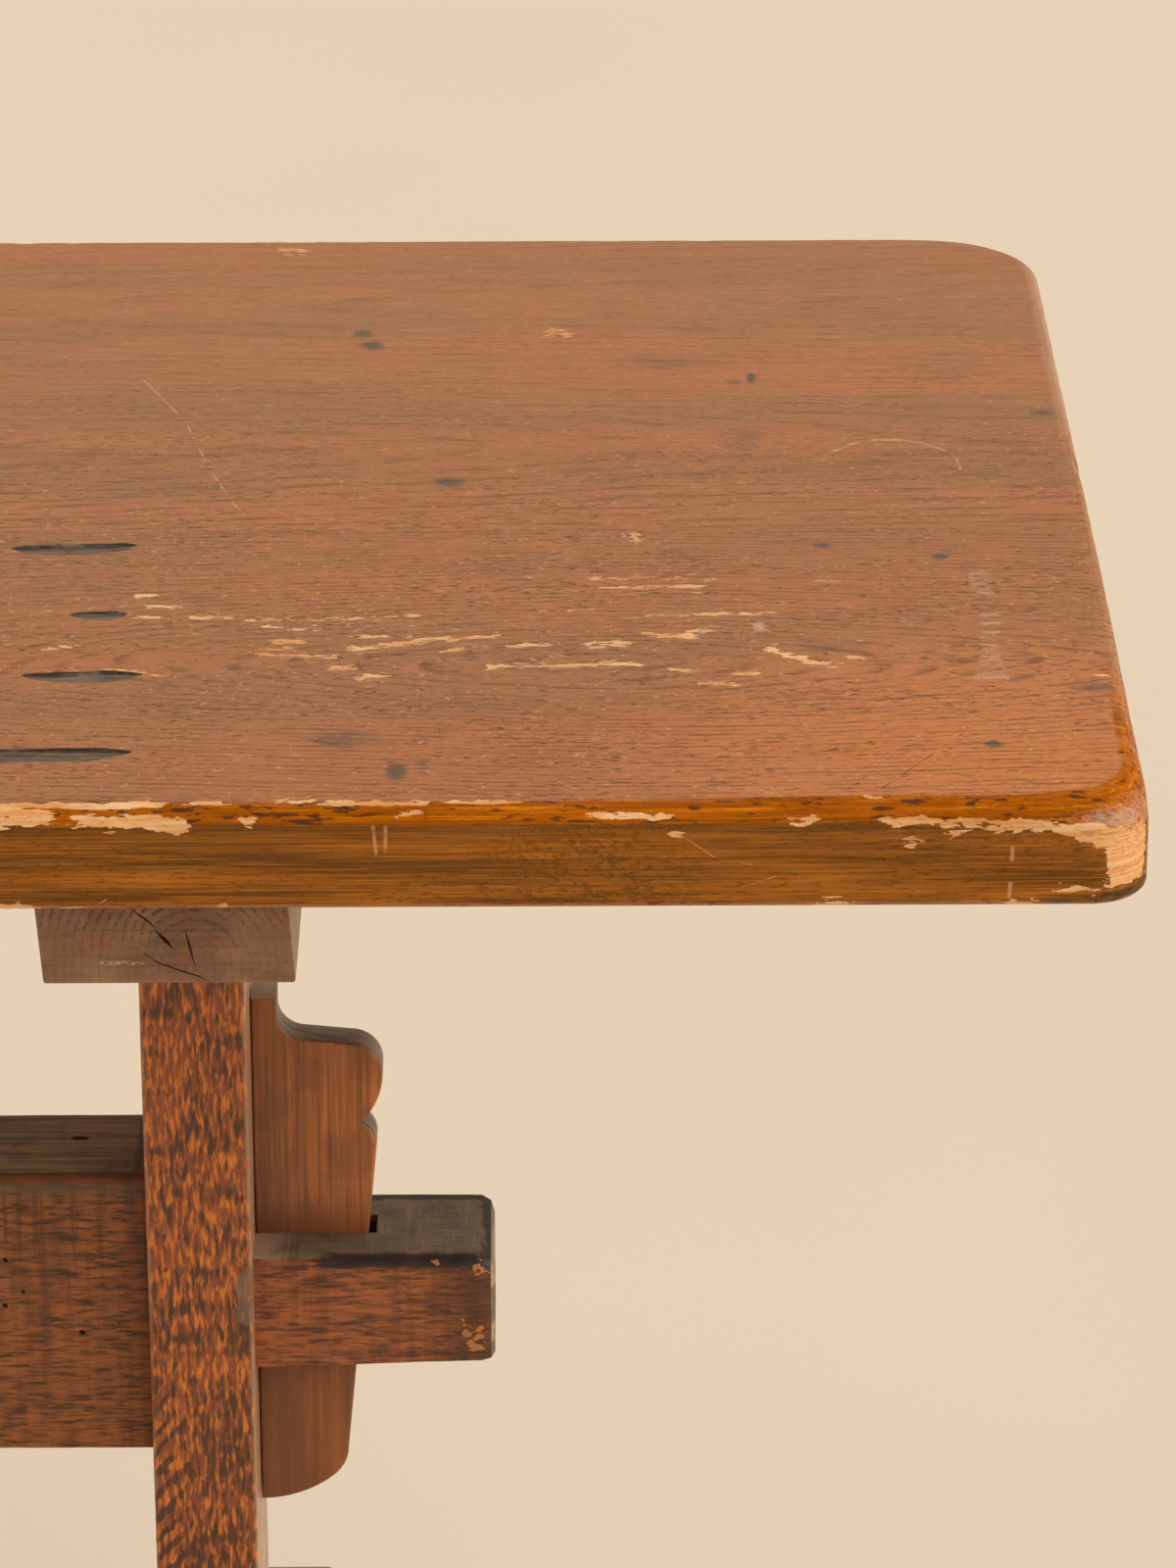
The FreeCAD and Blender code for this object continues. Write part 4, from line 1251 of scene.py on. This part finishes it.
def post_wood():
    """Quarter-sawn wood: short dark and bright flecks up the grain, slanting flames low on the inner side."""
    tree = Nodes("post_flecked_wood")
    x, _, z = tree.parts(tree.place)
    across = abs(x)
    bright = tree.grain(500, 500, 105, roughness=0.55)
    dark = tree.grain(420, 420, 92, (0.37, 0.2, 0.1), detail=2.5, roughness=0.6)
    patch = tree.grain(48, 48, 30, (0.3, 0.1, 0))
    ripple = tree.grain(24, 24, 110, (0.7, 0, 0.2), detail=1)
    fibre = tree.grain(1500, 1500, 40, detail=3)
    slant = z * 92.0 - across * 100.0 + patch.about(1.2)
    flame = tree.sum("SINE", slant * (2 * math.pi)).step(-0.3, 0.8)
    low = z.step(0.36, 0.3) * across.step(0.556, 0.544)
    shade = dark + patch.about(0.3) + ripple.about(0.42) + low * flame.about(0.25)
    shade = shade + z.step(0.42, 0.3) * 0.05
    flecked = shade.step(0.46, 0.65)
    tone = tree.mix(bright.step(0.44, 0.64), POST_BROWN, POST_ORANGE)
    tone = tree.mix(flecked * 0.88, tone, POST_DARK)
    tone = tree.mix(fibre.step(0.5, 0.7) * 0.25, tone, POST_BROWN)
    worn = (tree.mark("worn") + dark.about(0.6)).step(0.72, 0.9)
    tone = tree.mix(worn * 0.35, tone, POST_PALE)
    # Painted light and sheen: faces that look sideways are paled, as if lit from the side and reflecting the
    # pale background
    normal_x, _, _ = tree.normal()
    tone = tree.mix(abs(normal_x).step(0.8, 0.95) * 0.4, tone, SCUFF_AND_PAINTED_SIDE_SHEEN)
    chip = (tree.mark("chip") + dark.about(0.5)).step(0.25, 0.5)
    tone = tree.mix(chip * 0.7, tone, TUSK_RIM)
    height = fibre * 0.4 - flecked * 0.25 - chip * 0.4
    return tree.shade(tone, 0.32 + flecked * 0.1, height, 0.0003)


BATTEN_PITH = (0.577, 0.660)
BATTEN_RING = 3.4 * MM


def batten_wood():
    """End grain: dotted rings about a pith in the batten's outer half."""
    tree = Nodes("batten_end_grain_wood")
    x, _, z = tree.parts(tree.place)
    warp = tree.grain(30, 8, 30, detail=3)
    reach = tree.reach(abs(x) - BATTEN_PITH[0], (z - BATTEN_PITH[1]) * 0.9)
    rings = tree.sum("FRACT", (reach + warp * 0.009) * (1 / BATTEN_RING))
    late = rings.step(0.45, 0.85) * (1 - rings.step(0.9, 1.0))
    pores = tree.grain(700, 60, 700).step(0.45, 0.6)
    cloud = tree.grain(34, 14, 34, detail=4, roughness=0.6)
    above = (z + cloud.about(0.03)).step(0.666, 0.69)
    line = late * (0.2 + pores * 0.8) * (0.25 + above * 0.75)
    tone = tree.mix(cloud.step(0.36, 0.64), BATTEN_SHADE, BATTEN_BROWN)
    reddish = tree.grain(60, 14, 60, (0.4, 0, 0), detail=3).step(0.5, 0.66)
    tone = tree.mix(reddish * 0.7, tone, BATTEN_RED)
    tone = tree.mix(line * 0.95, tone, BATTEN_LATE)
    sawn = tree.grain(26, 26, 900, detail=3).step(0.5, 0.66)
    tone = tree.mix(sawn * 0.3, tone, BATTEN_LATE)
    scuff = tree.line_gap((0.54, 0.6622), (0.556, 0.6622), upright=True).step(0.0014, 0.0004)
    tone = tree.mix(scuff * pores * 0.7, tone, SCUFF_AND_PAINTED_SIDE_SHEEN)
    # Painted light and sheen: faces that look sideways are paled, as if lit from the side and reflecting the
    # pale background
    normal_x, _, _ = tree.normal()
    tone = tree.mix(abs(normal_x).step(0.8, 0.95) * 0.5, tone, SCUFF_AND_PAINTED_SIDE_SHEEN)
    tone = tree.mix(tree.mark("worn").step(0.55, 0.95) * 0.3, tone, WORN_BEIGE)
    height = cloud * 0.5 - line * 0.6 - pores * 0.3
    return tree.shade(tone, 0.52, height, 0.0004, specular=0.35)


def stretcher_wood():
    """Streaked wood with a grey upper face, a blackened worn front arris and bared chips."""
    tree = Nodes("stretcher_streaked_wood")
    x, _, z = tree.parts(tree.place)
    length = abs(x)
    outer = length.step(post_high[0] - 0.01, post_high[0])
    streak = tree.grain(70, 80, 500, detail=4, roughness=0.62, distortion=0.5)
    fine = tree.grain(130, 300, 900, detail=3)
    chatter = tree.grain(210, 20, 12, (0.4, 0, 0)).step(0.48, 0.62)
    stain = tree.grain(38, 20, 6, (0.2, 0, 0), detail=3)
    blot = tree.grain(70, 60, 110, detail=3)
    beam = tree.mix(streak.step(0.34, 0.62), BAR_DARK, BAR_RED)
    beam = tree.mix(fine.step(0.44, 0.66) * 0.6, beam, BAR_ORANGE)
    chattered = chatter * (0.15 + z.step(0.35, 0.41) * 0.35)
    beam = tree.mix(chattered, beam, BAR_DARK)
    beam = tree.mix((stain + blot.about(0.3)).step(0.5, 0.68) * 0.55, beam, BAR_DARK)
    lip = (z + streak.about(0.01)).step(bar_high[2] - 0.012, bar_high[2] - 0.006)
    beam = tree.mix(lip * 0.6, beam, BAR_SHADE)
    tenon = tree.mix(streak.step(0.36, 0.64), FOOT_DARK, TENON_RED)
    tenon = tree.mix(fine.step(0.48, 0.66) * 0.5, tenon, BAR_ORANGE)
    tenon = tree.mix(chatter * 0.25, tenon, BAR_DARK)
    toward_end = (length + blot.about(0.03)).step(bar_high[0] - 0.035, bar_high[0] - 0.012)
    tenon = tree.mix(toward_end * 0.65, tenon, BAR_DARK)
    tone = tree.mix(outer, beam, tenon)
    normal_x, _, normal_z = tree.normal()
    above = (normal_z + streak.about(0.4)).step(0.7, 0.9)
    cross = tree.grain(620, 50, 50, detail=3).step(0.5, 0.66)
    woven = tree.grain(50, 520, 520, detail=3).step(0.5, 0.66)
    grey = tree.mix(tree.grain(16, 420, 300, detail=4).step(0.36, 0.64), BAR_SHADE, BAR_GREY)
    grey = tree.mix(blot.step(0.54, 0.66) * 0.4, grey, BAR_DARK)
    weathered = tree.mix(tree.most(cross, woven) * 0.36, TENON_GREY, WORN_BEIGE)
    weathered = tree.mix(blot.step(0.48, 0.66) * 0.3, weathered, BLACKENED)
    by_post = (length + blot.about(0.02)).step(post_high[0] + 0.016, post_high[0] + 0.004)
    weathered = tree.mix(by_post * 0.6, weathered, TENON_END)
    tone = tree.mix(above, tone, tree.mix(outer, grey, weathered))
    end = abs(normal_x).step(0.5, 0.7)
    tone = tree.mix(end * 0.8, tone, tree.mix(blot.step(0.4, 0.62), BAR_SHADE, TENON_END))
    upper = normal_z.step(0.15, 0.4)
    rim = (tree.mark("worn") + streak.about(0.5)).step(0.3, 0.52) * upper
    inked = rim * outer * (length + blot.about(0.05)).step(0.603, 0.618)
    tone = tree.mix(rim * (1 - outer) * 0.6, tone, BLACKENED)
    tone = tree.mix(tree.mark("worn").step(0.62, 0.78) * upper * (1 - outer) * 0.7, tone, BAR_RIM)
    tone = tree.mix(inked * 0.92, tone, BLACKENED)
    crumbs = tree.grain(260, 260, 420, detail=3)
    chip = (tree.mark("chip") + crumbs.about(3.6)).step(0.94, 1.08)
    tone = tree.mix(chip * 0.85, tone, tree.mix(crumbs.step(0.5, 0.7), POST_ORANGE, WORN_BEIGE))
    height = streak * 0.7 + fine * 0.4 - chip * 0.4
    return tree.shade(tone, 0.42 + above * 0.2, height, 0.0004, specular=0.35)


def tusk_wood():
    """Fine straight grain up the tusk, darker below the tenon, painted shadow by the post, greyer worn edges,
    and a pale upper face that is partly end grain and partly painted light.
    """
    tree = Nodes("tusk_straight_wood")
    x, _, z = tree.parts(tree.place)
    length = abs(x)
    streak = tree.grain(430, 430, 9, detail=4, roughness=0.6, distortion=0.3)
    fine = tree.grain(1100, 1100, 30, detail=3)
    cloud = tree.grain(34, 34, 12, detail=3)
    blot = tree.grain(75, 75, 42, (0.1, 0, 0), detail=3)
    tone = tree.mix(streak.step(0.22, 0.78), TUSK_SHADE, TUSK_BROWN)
    tone = tree.mix(fine.step(0.42, 0.7) * 0.4, tone, TUSK_LIGHT)
    tone = tree.mix(cloud.step(0.44, 0.64) * 0.55, tone, TUSK_SHADE)
    soft = tree.grain(85, 85, 5, (0.2, 0, 0)).step(0.48, 0.66)
    tone = tree.mix(soft * 0.25, tone, TUSK_LOW)
    tone = tree.mix(blot.step(0.48, 0.66) * 0.45, tone, TUSK_SHADE)
    # Painted shadow: the tusk darkens next to the post
    by_post = (length + blot.about(0.012)).step(post_high[0] + 0.026, post_high[0] + 0.006)
    tone = tree.mix(by_post * 0.4, tone, TUSK_RIM_DARK)
    tone = tree.mix(z.step(TENON_HIGH[1] + 0.03, TENON_HIGH[1]) * 0.5, tone, TUSK_LOW)
    rim = (tree.mark("worn") + fine.about(0.4)).step(0.35, 0.75)
    grey = tree.mix(tree.grain(60, 260, 60, detail=3).step(0.35, 0.66), TUSK_RIM_DARK, TUSK_RIM)
    tone = tree.mix(rim, tone, grey)
    _, _, normal_z = tree.normal()
    # The tusk's upper face: partly its greyer end grain, partly painted light that lifts a face the batten
    # shades
    crown = normal_z.step(0.6, 0.9) * z.step(tusk_high[2] - 0.006, tusk_high[2] - 0.003)
    tone = tree.mix(crown * 0.85, tone, TUSK_CROWN_GREY_AND_PAINTED_LIGHT)
    height = streak * 0.4 + fine * 0.4
    return tree.shade(tone, 0.4, height, 0.00025, specular=0.4)


def plain_wood(name, light, dark, scales, roughness):
    """Wood with straight grain: bumps per metre on each axis."""
    tree = Nodes(name)
    streak = tree.grain(*scales, detail=4, roughness=0.6)
    fine = tree.grain(*(3.5 * s for s in scales), detail=3)
    tone = tree.mix(streak.step(0.36, 0.64), dark, light)
    tone = tree.mix(fine.step(0.5, 0.7) * 0.4, tone, dark)
    worn = (tree.mark("worn") + fine * 0.4).step(0.7, 1.0)
    tone = tree.mix(worn * 0.4, tone, BLACKENED)
    height = streak * 0.5 + fine * 0.5
    return tree.shade(tone, roughness, height, 0.0003)


def screw_steel():
    tree = Nodes("dull_screw_steel")
    rust = tree.grain(420, 420, 420, detail=4, roughness=0.65)
    turned = tree.grain(60, 60, 1800)
    tone = tree.mix(rust.step(0.45, 0.62), STEEL_GREY, STEEL_DARK)
    tone = tree.mix(rust.step(0.6, 0.72) * 0.7, tone, STEEL_RUST)
    rough = 0.34 + rust * 0.3
    return tree.shade(tone, rough, turned + rust, 0.0001, metallic=0.9)


# Scratches on the boards: points along each, its half width, whether it is on an upright face, and its colour

CUP_MIDDLE, CUP_HALF = (0.868, 0.030), (0.030, 0.034)


def ring_arc(start, end):
    """Part of a ring that a cup has left, between two angles."""
    (x, y), (half_x, half_y) = CUP_MIDDLE, CUP_HALF
    return [(x + half_x * math.cos(a), y + half_y * math.sin(a)) for a in np.linspace(start, end, 5)]


CURVE = [(0.5345, 0.147), (0.5572, 0.0896), (0.5709, 0.0281), (0.5833, -0.0136), (0.588, -0.0253)]
CURVED_SCRATCH = (CURVE, 0.7 * MM, False, SCRATCH_PALE)
CUP_RING = [
    (ring_arc(-0.1, 1.4), 0.9 * MM, False, SCRATCH_PALE),
    (ring_arc(1.4, 2.9), 1.9 * MM, False, SCRATCH_PALE),
]
FRONT_SCRATCHES = [
    ([(0.846, -0.321), (0.880, -0.268)], 0.7 * MM, False, TOP_PORE),
    ([(0.800, -0.150), (0.811, -0.163)], 0.8 * MM, False, SCRATCH_PALE),
    ([(0.6497, 0.743), (0.651, 0.730)], 1.0 * MM, True, SCRATCH_PALE),
    ([(0.6545, 0.743), (0.6543, 0.7315)], 1.0 * MM, True, SCRATCH_PALE),
    ([(0.8958, 0.733), (0.8956, 0.728)], 1.1 * MM, True, SCRATCH_PALE),
    ([(0.8953, 0.718), (0.8950, 0.7125)], 1.1 * MM, True, SCRATCH_PALE),
    ([(0.7685, 0.7386), (0.7806, 0.7298), (0.7956, 0.7264)], 0.4 * MM, True, SCRATCH_PALE),
    ([(0.7885, 0.7157), (0.8047, 0.7214)], 0.4 * MM, True, SCRATCH_PALE),
    ([(0.5466, 0.713), (0.5424, 0.710)], 0.4 * MM, True, SCRATCH_PALE),
    ([(0.470, 0.7095), (0.536, 0.7095)], 1.0 * MM, True, BARE_WARM),
    ([(0.580, 0.7093), (0.593, 0.7093)], 0.7 * MM, True, BARE_PALE),
    ([(0.816, 0.7094), (0.838, 0.7094)], 0.9 * MM, True, BARE_PALE),
]

# Boards: node, side of the table, pith (across, depth, place along, lean, ring width), grain shift, scratches
boards = {
    "front_board": ("top_front_board", -1, (-0.195, 0.030, 0.74, 0.14, 0.0036), 0.0, FRONT_SCRATCHES),
    "middle_board": ("top_middle_board", 0, (0.050, 0.060, 0.20, 0.05, 0.0052), 3.7,
                     [CURVED_SCRATCH, *CUP_RING]),
    "back_board": ("top_back_board", 1, (0.250, 0.050, 1.20, 0.06, 0.0060), 7.9, [CURVED_SCRATCH]),
}
for name, (node, outer, pith, shift, scratches) in boards.items():
    make_board(name, node, board_wood(f"{name}_wood", pith, shift, scratches), outer)

post_material = post_wood()
batten_material = batten_wood()
stretcher_material = stretcher_wood()
tusk_material = tusk_wood()
foot_material = plain_wood("foot_wood", FOOT_BROWN, FOOT_DARK, (120, 10, 190), 0.42)
peg_material = plain_wood("peg_wood", PEG_BROWN, PEG_DARK, (40, 420, 420), 0.5)
tongue_material = plain_wood("tongue_wood", TONGUE_PALE, TONGUE_DARK, (12, 260, 260), 0.6)
screw_material = screw_steel()

for number, side in enumerate(SIDES):
    seed = 40 + 20 * number
    make_post(side, post_material, seed)
    make_batten(side, batten_material, seed + 7)
    make_plate(f"{side}_tusk_plate", side, "tusk", 1, tusk_material, f"{side}_wedge",
               TUSK_EASE)
    make_plate(f"{side}_foot_timber", side, "foot", 0, foot_material, "frame", FOOT_EASE)
make_stretcher(stretcher_material, 90)

kept = {"top_front_tongue": tongue_material, "top_back_tongue": tongue_material}
for side in SIDES:
    kept[f"{side}_batten_screws"] = screw_material
    kept[f"{side}_upper_pegs"] = peg_material
    kept[f"{side}_lower_pegs"] = peg_material
for node, material in kept.items():
    mesh_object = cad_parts[node]
    mesh_object.data.materials.clear()
    mesh_object.data.materials.append(material)


# Floor, light and camera

FLOOR_RADIUS = 14
PAPER_SHARE = 0.7
NEAR_LIGHT = (0.40, 0.39, 0.37, 1)
BACK_LIGHT = (0.74, 0.61, 0.46, 1)


def make_floor():
    """A broad pale floor. Seen straight or in a reflection it is mostly even, with a soft shadow."""
    shell = Shell()
    turns = np.linspace(0, 2 * math.pi, 73)[:-1]
    shell.face([(FLOOR_RADIUS * math.cos(a), FLOOR_RADIUS * math.sin(a), 0) for a in turns])
    floor = make_object("studio_floor", shell)
    tree = Nodes("studio_floor_paper")
    cloud = tree.grain(1.2, 1.2, 1.2, detail=3)
    tone = tree.mix(cloud.step(0.3, 0.7), FLOOR_SHADE, FLOOR_BEIGE)
    lit = tree.surface(tone, 0.85, cloud, 0.0005, specular=0.1)
    even = tree.make("ShaderNodeEmission", {"Color": tone})
    rays = tree.make("ShaderNodeLightPath").socket.node.outputs
    kinds = ("Is Camera Ray", "Is Glossy Ray", "Is Transmission Ray")
    seen = tree.most(*(Value(tree, rays[kind]) for kind in kinds))
    paper = tree.make("ShaderNodeMixShader", {0: seen * PAPER_SHARE, 1: lit, 2: even})
    floor.data.materials.append(tree.end(paper))


def make_world():
    """Soft studio light all round: dim on the near side, brighter towards the back."""
    tree = Nodes("studio", bpy.data.worlds)
    _, back, _ = tree.parts(tree.make("ShaderNodeTexCoord", output="Generated"))
    feeds = {0: back.step(-0.6, 0.8), 6: NEAR_LIGHT, 7: BACK_LIGHT}
    light = tree.make("ShaderNodeMix", feeds, output=2, data_type="RGBA")
    sky = tree.make("ShaderNodeBackground", {"Color": light})
    bpy.context.scene.world = tree.end(sky, "ShaderNodeOutputWorld")


make_floor()
make_world()

# Key light: its strength, how broad it looks, and where it shines to
KEY_STRENGTH = 2.4
KEY_BREADTH = math.radians(60)
KEY_DIRECTION = Vector((-0.70, 0.35, -0.62))

key = bpy.data.lights.new("key", "SUN")
key.energy = KEY_STRENGTH
key.angle = KEY_BREADTH
key_object = bpy.data.objects.new("key", key)
key_object.rotation_euler = KEY_DIRECTION.to_track_quat("-Z", "Y").to_euler()
bpy.context.scene.collection.objects.link(key_object)

# Camera: where it stands, how far it looks down, aside and over, and its focal length in pixels
CAMERA_PLACE = (0.7144, -2.6110, 1.7499)
LOOK_DOWN = math.radians(23.54)
LOOK_ASIDE = math.radians(0.45)
LOOK_OVER = math.radians(0.07)
FOCAL_PIXELS = 6599
LONG_SIDE_PIXELS = 1600
SENSOR_MM = 36

forward = Vector((math.sin(LOOK_ASIDE) * math.cos(LOOK_DOWN), math.cos(LOOK_ASIDE) * math.cos(LOOK_DOWN),
                  -math.sin(LOOK_DOWN)))
level = Vector((math.cos(LOOK_ASIDE), -math.sin(LOOK_ASIDE), 0))
downward = forward.cross(level)
right = level * math.cos(LOOK_OVER) + downward * math.sin(LOOK_OVER)
up = level * math.sin(LOOK_OVER) - downward * math.cos(LOOK_OVER)
turn = Matrix((right, up, -forward)).transposed().to_4x4()
camera = bpy.data.cameras.new("camera")
camera.sensor_width = SENSOR_MM
camera.lens = FOCAL_PIXELS / LONG_SIDE_PIXELS * SENSOR_MM
camera_object = bpy.data.objects.new("camera", camera)
camera_object.matrix_world = Matrix.Translation(CAMERA_PLACE) @ turn
bpy.context.scene.collection.objects.link(camera_object)
bpy.context.scene.camera = camera_object
bpy.context.scene.view_settings.view_transform = "Standard"
